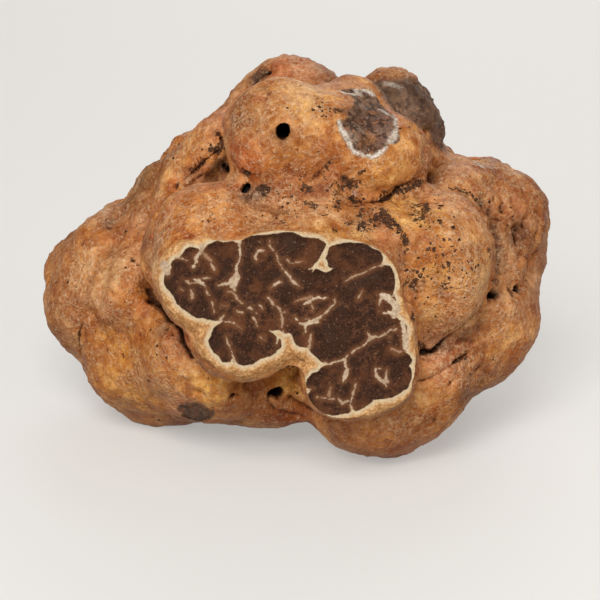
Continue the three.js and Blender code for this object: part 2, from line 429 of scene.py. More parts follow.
# %% Pits
PITS = [  # across, up, radius, depth
    (-6.62, 11.92, 0.18, 0.45), (-6.38, 11.72, 0.18, 0.4), (-4.8, 11.3, 0.34, 1.4),
    (-5.15, 11.5, 0.3, 1.4), (-5.05, 10.0, 0.27, 1.1), (-4.85, 10.2, 0.22, 0.9), (18.0, 12.1, 0.45, 0.7),
    (-4.15, 19.72, 0.5, 1.6), (-3.6, 20.15, 0.56, 1.9), (-3.05, 20.5, 0.5, 1.7), (16.85, -0.35, 0.42, 0.9),
    (17.25, 0.1, 0.5, 1.2), (17.7, 0.5, 0.46, 1.1), (19.95, 0.95, 0.5, 1.2), (19.4, 0.75, 0.42, 0.9),
    (-1.8, -8.4, 0.6, 1.6), (-2.5, -8.55, 0.4, 1.0), (-6.0, -8.8, 0.35, 0.5), (-5.5, -8.75, 0.25, 0.3),
    (-9.9, -2.2, 0.25, 0.6), (-7.6, 15.2, 0.3, 0.4), (-7.1, 14.7, 0.25, 0.4), (-6.6, 17.1, 0.25, 0.3),
    (-16.05, -5.0, 0.16, 0.3), (-12.7, -4.15, 0.22, 0.2), (-15.0, 3.75, 0.25, 0.3), (-14.5, 3.3, 0.2, 0.2),
    (-13.6, 0.0, 0.22, 0.4), (-16.75, 4.3, 0.25, 0.2), (21.4, 4.1, 0.4, 0.45), (21.9, 6.4, 0.35, 0.3),
    (18.3, 8.4, 0.28, 0.3), (17.2, 7.9, 0.18, 0.25), (17.0, 7.4, 0.18, 0.25), (18.2, 4.8, 0.32, 0.35),
    (17.5, 1.6, 0.3, 0.4), (16.2, 11.6, 0.25, 0.3), (13.35, -3.0, 0.25, 0.3), (-11.4, 10.4, 0.5, 0.6),
    (-13.3, 5.7, 0.28, 0.15), (10.15, -1.75, 0.24, 0.3), (19.7, 6.6, 0.4, 0.5), (17.7, 9.2, 0.25, 0.2),
    (20.2, 9.9, 0.3, 0.2), (15.2, -8.8, 0.3, 0.3), (16.3, -7.6, 0.4, 0.35), (13.6, -7.6, 0.3, 0.25),
    (-17.2, 6.7, 0.35, 0.25), (-16.1, 8.1, 0.3, 0.2),
]

# %% Scars
CROWN_SCAR = [
    (3.3, 15.9), (3.5, 15.3), (3.8, 14.7), (4.15, 14.2), (4.5, 13.7), (4.8, 13.3), (5.2, 13.05),
    (5.8, 12.95), (6.2, 12.8), (6.6, 12.72), (7.0, 12.8), (7.3, 13.05), (7.6, 13.35), (7.85, 13.8),
    (8.05, 14.1), (8.5, 14.0), (8.9, 14.2), (9.0, 14.6), (8.9, 15.1), (8.75, 15.6), (8.75, 16.1),
    (8.6, 16.4), (8.2, 16.8), (7.8, 17.1), (7.5, 17.5), (7.2, 18.1), (6.8, 18.7), (6.4, 19.0),
    (5.8, 19.05), (5.2, 19.0), (4.6, 19.05), (4.1, 19.0), (3.6, 18.85), (4.0, 18.55), (4.6, 18.35),
    (4.85, 18.0), (4.8, 17.6), (4.5, 17.3), (3.9, 17.2), (3.3, 17.2), (3.4, 16.9), (4.1, 16.8),
    (4.3, 16.5), (3.9, 16.3), (3.5, 16.2),
]
DARK_LOBE = [
    (6.3, 19.6), (7.2, 19.75), (7.8, 20.0), (8.6, 20.1), (9.5, 20.15), (10.3, 20.1), (11.2, 20.2),
    (12.4, 18.6), (13.2, 16.5), (13.6, 14.8), (15.0, 13.5), (16.4, 12.5), (16.0, 12.2), (15.2, 12.8),
    (14.2, 13.15), (13.2, 13.2), (12.2, 13.6), (11.5, 14.0), (11.2, 15.0), (10.5, 15.5), (9.8, 16.1),
    (9.1, 16.4), (8.6, 16.8), (7.8, 17.5), (7.2, 18.4), (6.8, 19.1),
]
LOW_SCAR = [
    (-11.0, -9.4), (-10.2, -9.2), (-9.2, -9.2), (-8.6, -9.35), (-8.2, -9.8), (-7.75, -9.85), (-7.6, -10.3),
    (-8.1, -10.75), (-9.0, -11.0), (-9.8, -11.15), (-10.5, -11.0), (-10.75, -10.5), (-10.6, -10.1),
    (-11.1, -9.9),
]
SCARS = {  # outline, its middle, how far round the middle it can reach
    "crown": (CROWN_SCAR, (6.2, 15.8), 5.0),
    "lobe": (DARK_LOBE, (10.5, 17.0), 8.0),
    "low": (LOW_SCAR, (-9.4, -10.1), 3.0),
}
print("creases:", len(CREASES), "pits:", len(PITS), "scars:", len(SCARS))


def scar_depth(points, *names):
    """How deep in one of these scars each point lies."""
    best = np.full(len(points), -1.0)
    for name in names:
        outline, middle, reach = SCARS[name]
        near = np.flatnonzero(((points - on_skin(*middle)) ** 2).sum(1) < reach**2)
        best[near] = np.maximum(best[near], depth_inside(outline, points[near]))
    return best


# %% [markdown]
# ## More points where they are needed
# Pits and creases are finer than the net. Faces near them are subdivided once; the rest of the skin stays
# as it is, which keeps the whole piece light. Before that, the crown's foot is softened: it grew into the
# fold below it.

# %% Soften the crown's foot
CROWN_FOOT = [(-3.0, 9.9), (-1.5, 9.7), (0.0, 9.6), (1.5, 9.6), (2.8, 9.8)]
FOOT_WIDTH = 2.0
FOOT_SMOOTHINGS = 150
weight = step(FOOT_WIDTH, 0.4 * FOOT_WIDTH, distance_to(laid_on_skin(CROWN_FOOT), points, FOOT_WIDTH + 0.1))
points = points + weight[:, None] * (net.soften(points, FOOT_SMOOTHINGS) - points)
put_points(mesh, points)
tree = tree_of(points, mesh)
print("points in the softened foot:", int((weight > 0).sum()))

# %% Refine the net near details
NEAR_DETAIL = 0.55
NEAR_SCAR_EDGE = 0.5
detail = np.concatenate([laid_on_skin(line) for _, _, line in CREASES]
                        + [np.array([on_skin(x, y)]) for x, y, _, _ in PITS])
centres = np.empty(len(mesh.polygons) * 3)
mesh.polygons.foreach_get("center", centres)
centres = centres.reshape(-1, 3) / MM
wanted = distance_to(detail, centres, 1.0) < NEAR_DETAIL
wanted |= np.abs(scar_depth(centres, *SCARS)) < NEAR_SCAR_EDGE
mesh.polygons.foreach_set("select", wanted)
with editing(truffle):
    bpy.ops.mesh.select_mode(type="FACE")
    bpy.ops.mesh.subdivide(number_cuts=1, ngon=False)
    bpy.ops.mesh.select_all(action="DESELECT")
mesh = truffle.data
net = Neighbours(mesh)
points = net.soften(points_of(mesh), 3, keep_volume=True)
put_points(mesh, points)
print("refined faces:", int(wanted.sum()), "-> points:", len(mesh.vertices))


# %% [markdown]
# ## Sculpting the skin
# Five things are added up along the skin's normal: broad lumps, cobbled wrinkles where the skin is rough,
# the creases, the pits and the scars. Where the skin is hollow it sinks a little more, as drying skin
# does.

# %% Lumps and cobbles
ROUGH = [  # across, up, reach, strength
    (19.5, 6.0, 4.0, 1.0), (18.0, 10.5, 3.0, 0.8), (-18.0, 3.0, 4.0, 0.5), (9.8, 18.0, 3.0, 0.35),
    (13.5, 12.0, 2.0, 0.7), (15.5, -6.0, 4.0, 0.5), (-10.0, 13.5, 3.0, 0.6), (-16.0, 9.0, 3.0, 0.5),
    (-3.0, 19.0, 2.0, 0.5), (3.0, 20.3, 2.0, 0.4), (-10.5, -8.0, 2.5, 0.5), (10.0, -4.0, 2.0, 0.4),
]
SWELLS = [(11.6, 16.5, 2.0, 0.5), (-11.0, 14.2, 1.5, 0.4), (-8.0, 16.6, 1.2, 0.3), (-13.6, 12.2, 1.3, 0.3)]


def spread(spots, points, floor=0.0):
    """The largest of soft round spots: across, up, reach and strength."""
    out = np.full(len(points), floor)
    for across, up, reach, strong in spots:
        out = np.maximum(out, strong * around(points, across, up, reach))
    return out


normals = points_of(mesh, "normal")
behind = step(-2.0, 3.0, points[:, 1])
rough = np.maximum(spread(ROUGH, points, 0.15), 0.55 * behind)
height = 0.20 * clouds(points, 4.5, 2) + 0.09 * clouds(points, 1.7, 2, seed=7)
height += 0.40 * rough * (cobbles(points, 3.2, seed=2) - 0.6)
height += (0.06 + 0.12 * rough) * (cobbles(points, 1.4, seed=5) - 0.6)
height += (0.03 + 0.05 * rough) * clouds(points, 0.6, 2, seed=3)
height += spread(SWELLS, points)
print("lumps from", round(float(height.min()), 2), "to", round(float(height.max()), 2), "mm")

# %% Creases, pits and scars
ragged = clouds(points, 1.1, 3, seed=5)
swing = clouds(points, 2.3, 2, seed=17)
carved, crease_shade = np.zeros(len(points)), np.zeros(len(points))
for width, depth, line in CREASES:
    gap = distance_to(laid_on_skin(line), points, 3 * width) + 0.22 * width * ragged
    gap = np.maximum(gap, 0)
    broad, narrow = np.exp(-((gap / width) ** 2)), np.exp(-((gap / (0.3 * width)) ** 2))
    sharp = step(0.95, 0.45, width)
    valley = (0.6 * broad + 0.5 * sharp * narrow) * step(3 * width, 2 * width, gap)
    carved = np.maximum(carved, depth * (0.95 + 0.35 * swing) * valley)
    # this share marks where a painted line of shade goes along the narrow creases
    crease_shade = np.maximum(crease_shade, sharp * min(1.0, depth / 0.5) * (1 + 0.8 * swing) * narrow)
pitted = np.zeros(len(points))
for across, up, radius, depth in PITS:
    gap = np.sqrt(((points - on_skin(across, up)) ** 2).sum(1)) * (1 + 0.25 * ragged)
    pitted = np.maximum(pitted, depth * step(1.25 * radius, 0.45 * radius, gap))
scar = scar_depth(points, *SCARS)
worn = step(-0.05, 0.25, scar)
scarred = worn * (0.10 + 0.06 * (1 - cobbles(points, 1.0, seed=9)))
points = points + normals * (height - carved - pitted - scarred)[:, None]
put_points(mesh, points)
keep_numbers(mesh, "crease_shade", crease_shade)
keep_numbers(mesh, "pit", pitted)
print("creases up to", round(float(carved.max()), 2), "mm, pits up to", round(float(pitted.max()), 2), "mm")

# %% Hollows sink
SINK_FROM, SINK_UP_TO = 0.02, 0.35  # how hollow
NEAR_BLADE = (1.0, 0.3)  # softened more and more from the first to the second, for a clean rim
normals = points_of(mesh, "normal")
hollow = ((net.soften(points, 12) - points) * normals).sum(1)
points = points - normals * np.clip(hollow - SINK_FROM, 0, SINK_UP_TO)[:, None] * 0.8
at_blade = step(*NEAR_BLADE, np.abs(points @ np.array(FACE_NORMAL) - face_at))[:, None]
points = points + at_blade * (net.soften(points, 8) - points)
points[:, 2] = np.maximum(points[:, 2], 0)
put_points(mesh, points)
print("hollows up to", round(float(hollow.max()), 2), "mm")


# %% [markdown]
# ## The shaved face
# The blade's cut is a plane, so the lump is bisected with it and what lies outside is cleared. The opening
# is then closed with a very fine net of triangles, because the marbling lives in its points: rows of
# places inside the cut's outline, joined by a Delaunay triangulation that keeps the outline itself.

# %% Slice with the blade
face_point = FACE_NORMAL * face_at
with editing(truffle):
    bpy.ops.mesh.select_all(action="SELECT")
    bpy.ops.mesh.bisect(plane_co=face_point * MM, plane_no=FACE_NORMAL, clear_outer=True, threshold=1e-7)
    bpy.ops.mesh.select_all(action="DESELECT")
print("points left of the blade's cut:", len(truffle.data.vertices))

# %% Close the opening with a fine net
FLESH_NET = 0.11  # side of the triangles
ROW = FLESH_NET * 0.866  # their height
RIM_STEP = 0.08  # corners of the rim closer than this are one
CLEAR_OF_RIM = 0.07
face_right = Vector((1, 0, 0))
face_up = FACE_NORMAL.cross(face_right)

shape = bmesh.new()
shape.from_mesh(truffle.data)
rim_corners = {v for e in shape.edges if e.is_boundary for v in e.verts}
bmesh.ops.remove_doubles(shape, verts=list(rim_corners), dist=RIM_STEP * MM)
rim_edges = [e for e in shape.edges if e.is_boundary]
rim = list({v for e in rim_edges for v in e.verts})
order = {v: k for k, v in enumerate(rim)}


def on_face(point):
    offset = Vector(point) / MM - face_point
    return Vector((offset.dot(face_right), offset.dot(face_up)))


outline = [on_face(v.co) for v in rim]
edges = [(order[e.verts[0]], order[e.verts[1]]) for e in rim_edges]
low = Vector((min(p.x for p in outline), min(p.y for p in outline)))
high = Vector((max(p.x for p in outline), max(p.y for p in outline)))
rows = math.ceil((high.y - low.y) / ROW)
columns = math.ceil((high.x - low.x) / FLESH_NET)
grid = np.array([(low.x + (c + 0.5 * (r % 2)) * FLESH_NET, low.y + r * ROW)
                 for r in range(rows) for c in range(columns)])
ends = np.array([[outline[a][:], outline[b][:]] for a, b in edges])
kept = grid[inside_of(ends, grid) & (gap_to_edges(ends, grid) > CLEAR_OF_RIM)]
flat = [Vector(p) for p in outline] + [Vector(p) for p in kept]
made = geometry.delaunay_2d_cdt(flat, edges, [], 1, 1e-6)
joined = np.array([p[:] for p in made[0]])[np.array(made[2])]
triangles = np.array(made[2])[inside_of(ends, joined.mean(1))]
print("flesh net:", len(kept), "places,", len(triangles), "triangles")
verts = list(rim)
for place in made[0][len(rim):]:
    verts.append(shape.verts.new((face_point + face_right * place.x + face_up * place.y) * MM))
for corners in triangles:
    face = shape.faces.new([verts[k] for k in corners])
    face.material_index = 1
bmesh.ops.delete(shape, geom=[v for v in shape.verts if not v.link_faces], context="VERTS")
shape.normal_update()
for face in shape.faces:
    if face.material_index == 1 and face.normal.dot(FACE_NORMAL) < 0:
        face.normal_flip()
shape.to_mesh(truffle.data)
open_edges = sum(1 for e in shape.edges if not e.is_manifold)
shape.free()
mesh = truffle.data
print("triangles:", sum(len(p.vertices) - 2 for p in mesh.polygons), "open edges:", open_edges)


# %% [markdown]
# ## Reading the face
# The dark flesh stops short of the cut's rim, where the pale rind shows. Its outline and the veins are
# told in the front view: the outline as a ring of places, each vein as places with its half width there.
# Every point of the face then knows how deep in the dark flesh it lies and how deep in a vein, and the
# colours follow from that.

# %% Outline of the dark flesh
FLESH_OUTLINE = [
    (-12.2, 2.4), (-12.3, 1.6), (-12.1, 1.1), (-11.7, 0.7), (-11.35, 0.2), (-11.1, -0.3), (-10.7, -0.7),
    (-10.3, -1.0), (-9.9, -1.3), (-9.4, -1.6), (-9.0, -1.65), (-8.7, -1.62), (-8.3, -1.78), (-7.9, -1.85),
    (-7.3, -1.87), (-6.95, -1.9), (-7.2, -2.08), (-7.5, -2.28), (-7.8, -2.5), (-7.95, -2.9), (-8.0, -3.2),
    (-8.28, -3.6), (-8.2, -4.0), (-8.0, -4.4), (-7.75, -4.75), (-7.4, -5.0), (-7.15, -5.35), (-7.0, -5.55),
    (-6.6, -5.65), (-6.25, -5.55), (-6.05, -5.25), (-5.85, -5.45), (-5.6, -5.75), (-5.2, -5.9),
    (-4.7, -5.87), (-4.2, -5.75), (-3.8, -5.5), (-3.5, -5.3), (-3.0, -5.15), (-2.5, -5.0), (-2.2, -4.8),
    (-2.05, -4.5), (-1.8, -4.4), (-1.65, -4.1), (-1.7, -3.6), (-1.9, -3.45), (-2.05, -3.7), (-2.12, -3.3),
    (-2.4, -3.0), (-2.85, -2.78), (-2.2, -2.75), (-1.9, -2.72), (-1.6, -2.9), (-1.3, -3.05), (-1.0, -3.0),
    (-0.75, -3.1), (-0.65, -3.4), (-0.55, -3.75), (-0.4, -4.0), (-0.1, -4.2), (0.4, -4.28), (0.72, -4.28),
    (0.85, -4.5), (1.0, -4.8), (1.25, -5.0), (1.55, -5.25), (1.8, -5.55), (2.2, -5.7), (2.75, -5.76),
    (2.3, -5.86), (1.9, -6.1), (1.6, -6.4), (1.1, -6.6), (0.8, -6.9), (0.6, -7.2), (0.5, -7.6),
    (0.52, -7.95), (0.85, -8.02), (0.9, -8.2), (0.7, -8.5), (0.65, -8.9), (0.8, -9.3), (1.1, -9.7),
    (1.4, -9.95), (1.9, -10.15), (2.4, -10.3), (3.0, -10.42), (3.4, -10.38), (3.9, -10.25), (4.4, -10.2),
    (4.6, -10.0), (4.62, -9.8), (5.0, -10.0), (5.4, -9.9), (5.8, -9.65), (6.2, -9.45), (6.5, -9.2),
    (6.6, -9.0), (7.2, -8.95), (7.8, -8.9), (8.3, -8.8), (8.9, -8.5), (9.3, -8.2), (9.7, -7.9),
    (9.9, -7.5), (10.05, -7.0), (10.1, -6.6), (10.0, -6.2), (9.82, -5.92), (10.1, -5.5), (10.05, -5.3),
    (9.9, -5.0), (9.7, -4.8), (9.5, -4.7), (9.55, -4.3), (9.5, -4.0), (9.4, -3.8), (9.45, -3.4),
    (9.4, -3.1), (9.6, -3.0), (9.7, -2.6), (9.6, -2.3), (9.35, -2.0), (9.0, -1.8), (8.7, -1.55),
    (8.3, -1.35), (8.0, -1.15), (8.4, -0.9), (8.65, -0.5), (8.66, 0.0), (8.45, 0.45), (8.4, 0.6),
    (8.5, 1.0), (8.6, 1.5), (8.55, 2.0), (8.45, 2.5), (8.3, 2.8), (8.1, 3.05), (7.7, 3.15), (7.35, 3.08),
    (7.32, 3.2), (7.45, 3.6), (7.5, 3.9), (7.3, 4.3), (7.0, 4.5), (6.7, 4.6), (6.3, 4.8), (6.1, 5.0),
    (5.6, 5.15), (5.0, 5.15), (4.6, 5.2), (4.1, 5.2), (3.6, 5.1), (3.1, 4.95), (2.8, 4.9), (2.6, 4.7),
    (2.5, 4.3), (2.3, 3.8), (2.45, 3.5), (2.5, 3.1), (2.6, 2.92), (3.0, 2.85), (2.7, 2.62), (2.4, 2.48),
    (2.2, 2.52), (2.0, 2.62), (1.7, 2.75), (1.4, 2.82), (1.1, 2.45), (1.18, 2.72), (1.0, 2.75),
    (0.7, 2.72), (1.1, 3.0), (1.4, 3.3), (1.7, 3.7), (2.0, 4.2), (2.2, 4.6), (2.35, 5.0), (2.2, 5.25),
    (1.9, 5.4), (1.6, 5.55), (1.2, 5.6), (0.5, 5.65), (0.1, 5.75), (-0.3, 5.95), (-0.7, 6.1), (-1.2, 6.15),
    (-1.7, 6.1), (-2.0, 6.0), (-2.5, 5.97), (-3.2, 5.88), (-3.8, 5.85), (-4.4, 5.8), (-4.9, 5.6),
    (-5.2, 5.4), (-5.35, 5.1), (-5.55, 5.1), (-5.9, 5.25), (-6.2, 5.3), (-6.8, 5.2), (-7.2, 5.28),
    (-7.5, 5.35), (-7.9, 5.2), (-8.3, 5.0), (-8.5, 4.8), (-8.65, 4.62), (-9.05, 4.5), (-9.2, 4.65),
    (-9.6, 4.75), (-9.9, 4.8), (-10.3, 4.6), (-10.6, 4.2), (-10.8, 3.9), (-11.2, 3.75), (-11.5, 3.5),
    (-11.65, 3.2), (-11.6, 2.9), (-11.7, 2.6), (-12.0, 2.45),
]

# %% Veins
VEINS = [  # how white (0 brown, 1 white), then (across, up, half width) places
    (0.7, [(-12.6, 3.5, 0.22), (-12.15, 3.1, 0.42), (-12.0, 2.5, 0.3)]),
    (1.0, [(7.4, 0.4, 0.22), (7.9, 0.2, 0.32), (8.4, -0.2, 0.25), (8.7, -0.7, 0.32), (8.5, -1.4, 0.28),
           (8.0, -1.1, 0.12)]),
    (0.9, [(9.2, -2.0, 0.18), (9.5, -3.2, 0.26), (9.5, -4.3, 0.22)]),
    (0.8, [(-5.4, 5.15, 0.1), (-5.4, 4.6, 0.07), (-5.38, 4.0, 0.06), (-5.5, 3.4, 0.07),
           (-5.7, 3.1, 0.07), (-5.75, 2.6, 0.06), (-5.72, 2.1, 0.3), (-5.98, 1.65, 0.42),
           (-6.12, 1.35, 0.3)]),
    (0.8, [(-6.3, 1.5, 0.2), (-6.9, 1.42, 0.1), (-7.35, 1.3, 0.04)]),
    (0.4, [(-6.55, 0.78, 0.06), (-6.1, 0.72, 0.09), (-5.9, 0.5, 0.11), (-5.68, 0.2, 0.13),
           (-5.55, 0.0, 0.08), (-5.2, -0.3, 0.04)]),
    (0.7, [(-5.98, 1.05, 0.08), (-5.8, 0.75, 0.05)]),
    (0.8, [(-8.8, 4.8, 0.25), (-8.9, 4.4, 0.15), (-9.2, 4.0, 0.13), (-9.38, 3.7, 0.19),
           (-9.3, 3.4, 0.1), (-9.45, 3.2, 0.07), (-9.65, 2.95, 0.12)]),
    (0.15, [(-8.8, 4.3, 0.08), (-8.4, 3.9, 0.12), (-8.0, 3.5, 0.1)]),
    (0.6, [(-8.02, 3.2, 0.08), (-7.8, 2.9, 0.11), (-7.7, 2.65, 0.06)]),
    (0.6, [(-11.2, 3.8, 0.06), (-10.9, 3.8, 0.05), (-10.5, 3.68, 0.05), (-10.15, 3.57, 0.04)]),
    (0.9, [(-9.6, 1.9, 0.05), (-9.3, 1.75, 0.11), (-9.0, 1.65, 0.17), (-8.75, 1.5, 0.12),
           (-8.6, 1.25, 0.06), (-8.45, 1.05, 0.03)]),
    (0.5, [(-10.4, 1.85, 0.03), (-10.2, 1.68, 0.06), (-9.9, 1.48, 0.06), (-9.4, 1.55, 0.07),
           (-9.0, 1.6, 0.1)]),
    (0.5, [(-9.2, 1.85, 0.08), (-8.7, 1.93, 0.06), (-8.15, 1.98, 0.04)]),
    (0.7, [(-8.4, 0.85, 0.05), (-8.3, 0.55, 0.09), (-8.1, 0.42, 0.04)]),
    (0.8, [(-10.72, 0.95, 0.05), (-10.6, 0.85, 0.06)]),
    (0.45, [(-9.82, 0.85, 0.05), (-9.7, 0.58, 0.15), (-9.7, 0.2, 0.09), (-9.75, 0.08, 0.04)]),
    (0.5, [(-7.98, 0.0, 0.03), (-7.87, -0.3, 0.06), (-7.8, -0.7, 0.05), (-7.7, -1.1, 0.05)]),
    (0.6, [(-7.05, -0.5, 0.03), (-6.85, -0.5, 0.05), (-6.65, -0.55, 0.04)]),
    (0.7, [(-3.95, 3.55, 0.05), (-4.02, 3.95, 0.07), (-3.85, 4.3, 0.07), (-3.65, 4.48, 0.08),
           (-3.4, 4.42, 0.05), (-3.15, 4.45, 0.02)]),
    (0.4, [(-2.75, 5.3, 0.03), (-2.75, 4.85, 0.06), (-2.5, 4.6, 0.06), (-2.2, 4.2, 0.05),
           (-2.05, 3.9, 0.06), (-1.95, 3.4, 0.05), (-1.6, 2.9, 0.05), (-1.3, 2.5, 0.07)]),
    (0.7, [(-1.3, 2.5, 0.07), (-0.9, 2.1, 0.09), (-0.75, 1.75, 0.12), (-0.4, 1.5, 0.14),
           (-0.1, 1.2, 0.05)]),
    (0.8, [(-2.6, 1.05, 0.04), (-2.3, 1.35, 0.1), (-2.1, 1.5, 0.08), (-1.85, 1.65, 0.07),
           (-1.7, 1.6, 0.03)]),
    (0.35, [(-1.25, 3.7, 0.03), (-1.1, 3.55, 0.06), (-0.9, 3.3, 0.05), (-0.6, 3.3, 0.05),
            (-0.1, 3.4, 0.04), (0.3, 3.5, 0.03)]),
    (0.1, [(-0.5, -0.2, 0.04), (0.1, 0.05, 0.08), (0.6, 0.1, 0.15), (1.0, 0.25, 0.15)]),
    (0.9, [(0.4, -0.35, 0.05), (0.8, -0.2, 0.1), (1.1, 0.0, 0.15), (1.3, 0.15, 0.13), (1.6, 0.2, 0.09),
           (2.0, 0.12, 0.05), (2.4, 0.2, 0.04)]),
    (0.3, [(1.05, -0.4, 0.05), (1.15, -0.75, 0.06), (1.05, -1.0, 0.04)]),
    (0.5, [(-2.9, 0.2, 0.04), (-2.6, -0.1, 0.08), (-2.35, -0.45, 0.07), (-2.0, -0.65, 0.07),
           (-1.8, -0.9, 0.06), (-1.7, -1.3, 0.07), (-1.6, -1.7, 0.09), (-1.6, -2.1, 0.05),
           (-1.6, -2.5, 0.04), (-1.5, -2.9, 0.06)]),
    (0.6, [(-1.55, -1.15, 0.06), (-1.3, -1.15, 0.08)]),
    (0.6, [(-3.95, -1.15, 0.03), (-3.85, -1.3, 0.04)]),
    (0.6, [(-4.2, -1.6, 0.05), (-4.05, -1.85, 0.06), (-3.95, -2.15, 0.04), (-3.85, -2.4, 0.04)]),
    (0.8, [(-4.8, -0.75, 0.03), (-4.45, -0.75, 0.13), (-4.3, -0.9, 0.08)]),
    (0.5, [(-5.75, -0.95, 0.03), (-5.5, -1.1, 0.08), (-5.2, -1.15, 0.06)]),
    (0.6, [(-3.65, -0.45, 0.04), (-3.45, -0.65, 0.05), (-3.35, -0.8, 0.03)]),
    (0.9, [(-0.55, -1.6, 0.06), (-0.3, -1.8, 0.09), (-0.15, -1.85, 0.04)]),
    (0.9, [(-0.05, -2.1, 0.04), (0.3, -2.2, 0.08), (0.6, -2.15, 0.13), (0.95, -2.0, 0.2),
           (1.3, -1.95, 0.2), (1.6, -2.0, 0.1)]),
    (0.6, [(0.15, -1.85, 0.03), (0.5, -1.72, 0.03), (0.9, -1.75, 0.05)]),
    (0.8, [(1.5, -1.75, 0.12), (1.8, -1.6, 0.08), (2.1, -1.35, 0.08), (2.4, -1.1, 0.08),
           (2.65, -0.8, 0.05), (2.9, -0.55, 0.05), (3.1, -0.45, 0.05)]),
    (0.35, [(3.1, -0.45, 0.05), (3.2, -0.15, 0.09), (3.1, 0.1, 0.05)]),
    (0.8, [(0.5, -2.3, 0.09), (0.5, -2.7, 0.06), (0.5, -3.0, 0.04)]),
    (0.45, [(7.4, 3.15, 0.08), (6.9, 3.0, 0.05), (6.5, 2.85, 0.05), (6.1, 2.6, 0.04), (5.5, 2.35, 0.05),
            (5.0, 2.2, 0.05), (4.5, 1.95, 0.05), (4.05, 1.65, 0.04)]),
    (0.4, [(1.0, -3.1, 0.05), (0.9, -3.5, 0.12), (0.9, -3.9, 0.1), (0.8, -4.3, 0.08)]),
    (0.7, [(2.2, -5.75, 0.1), (2.6, -5.78, 0.06), (3.1, -5.6, 0.07), (3.6, -5.5, 0.07),
           (4.05, -5.35, 0.08), (4.3, -5.0, 0.05)]),
    (0.6, [(4.65, -4.8, 0.04), (4.95, -4.5, 0.08), (5.2, -4.4, 0.06), (5.5, -4.25, 0.04),
           (5.8, -4.1, 0.04), (6.05, -3.8, 0.05), (6.25, -3.55, 0.1), (6.4, -3.4, 0.18),
           (6.8, -3.3, 0.12), (7.1, -3.4, 0.08), (7.4, -3.2, 0.05), (7.7, -3.1, 0.05), (8.1, -3.3, 0.04)
           ]),
    (0.5, [(6.1, -3.0, 0.03), (6.3, -3.3, 0.08)]),
    (0.5, [(7.5, -3.05, 0.05), (7.9, -2.95, 0.06), (8.1, -2.7, 0.05), (8.4, -2.75, 0.06),
           (8.7, -2.6, 0.05)]),
    (0.75, [(4.05, -5.4, 0.08), (4.1, -5.9, 0.12), (4.2, -6.3, 0.13), (4.15, -6.7, 0.25),
            (4.0, -7.0, 0.2), (3.85, -7.35, 0.06)]),
    (0.7, [(6.8, -6.15, 0.06), (6.8, -6.5, 0.1), (6.9, -6.9, 0.12), (7.3, -7.2, 0.12),
           (7.6, -7.4, 0.15), (7.8, -7.8, 0.04)]),
    (0.6, [(7.8, -6.3, 0.03), (7.75, -6.7, 0.08), (7.7, -7.1, 0.1), (7.9, -7.4, 0.15)]),
    (0.6, [(6.9, -6.2, 0.05), (7.3, -6.2, 0.05)]),
    (0.65, [(5.0, -7.6, 0.03), (4.95, -7.9, 0.07), (4.8, -8.3, 0.1), (4.7, -8.7, 0.07),
            (4.6, -9.1, 0.05), (4.55, -9.5, 0.05), (4.7, -9.85, 0.08)]),
    (0.5, [(4.5, -9.1, 0.05), (4.1, -9.2, 0.07), (3.8, -9.35, 0.07), (3.6, -9.05, 0.05),
           (3.4, -8.8, 0.03)]),
    (0.45, [(3.2, -8.92, 0.04), (2.6, -8.92, 0.05), (2.0, -8.8, 0.04), (1.55, -8.75, 0.03)]),
    (0.15, [(2.75, -7.8, 0.05), (2.7, -8.2, 0.1), (2.6, -8.6, 0.18)]),
    (0.7, [(0.5, -8.1, 0.15), (0.9, -8.1, 0.07), (1.1, -8.0, 0.03)]),
    (0.25, [(8.2, -4.4, 0.06), (8.5, -4.5, 0.1), (8.9, -4.7, 0.08), (9.3, -4.65, 0.04),
            (9.6, -4.6, 0.05)]),
    (0.9, [(8.5, 0.5, 0.1), (8.2, 0.25, 0.08), (7.8, 0.2, 0.12), (7.4, 0.25, 0.15), (7.2, 0.0, 0.12),
           (7.1, -0.4, 0.06), (7.15, -0.6, 0.03)]),
    (0.8, [(8.9, -0.9, 0.2), (8.4, -1.1, 0.12), (8.0, -1.15, 0.08), (7.5, -1.2, 0.04), (7.1, -1.0, 0.03)]),
    (0.5, [(5.1, 0.0, 0.03), (5.3, 0.3, 0.06), (5.55, 0.65, 0.05), (5.65, 0.8, 0.02)]),
    (0.6, [(-6.65, -3.3, 0.03), (-6.5, -3.9, 0.05), (-6.35, -4.2, 0.05), (-6.2, -4.5, 0.03),
           (-6.1, -4.8, 0.05), (-6.0, -5.2, 0.07), (-5.95, -5.5, 0.14)]),
    (0.5, [(-3.6, -3.35, 0.04), (-3.4, -3.5, 0.06), (-3.2, -3.6, 0.04)]),
    (0.7, [(-7.2, -1.9, 0.12), (-7.0, -1.6, 0.1), (-6.85, -1.35, 0.04)]),
    (0.6, [(-6.9, -1.95, 0.06), (-6.4, -2.0, 0.05), (-6.0, -2.05, 0.06), (-5.6, -2.35, 0.03),
           (-5.2, -2.65, 0.03)]),
    (0.9, [(-2.0, -3.5, 0.05), (-2.1, -3.9, 0.06)]),
]

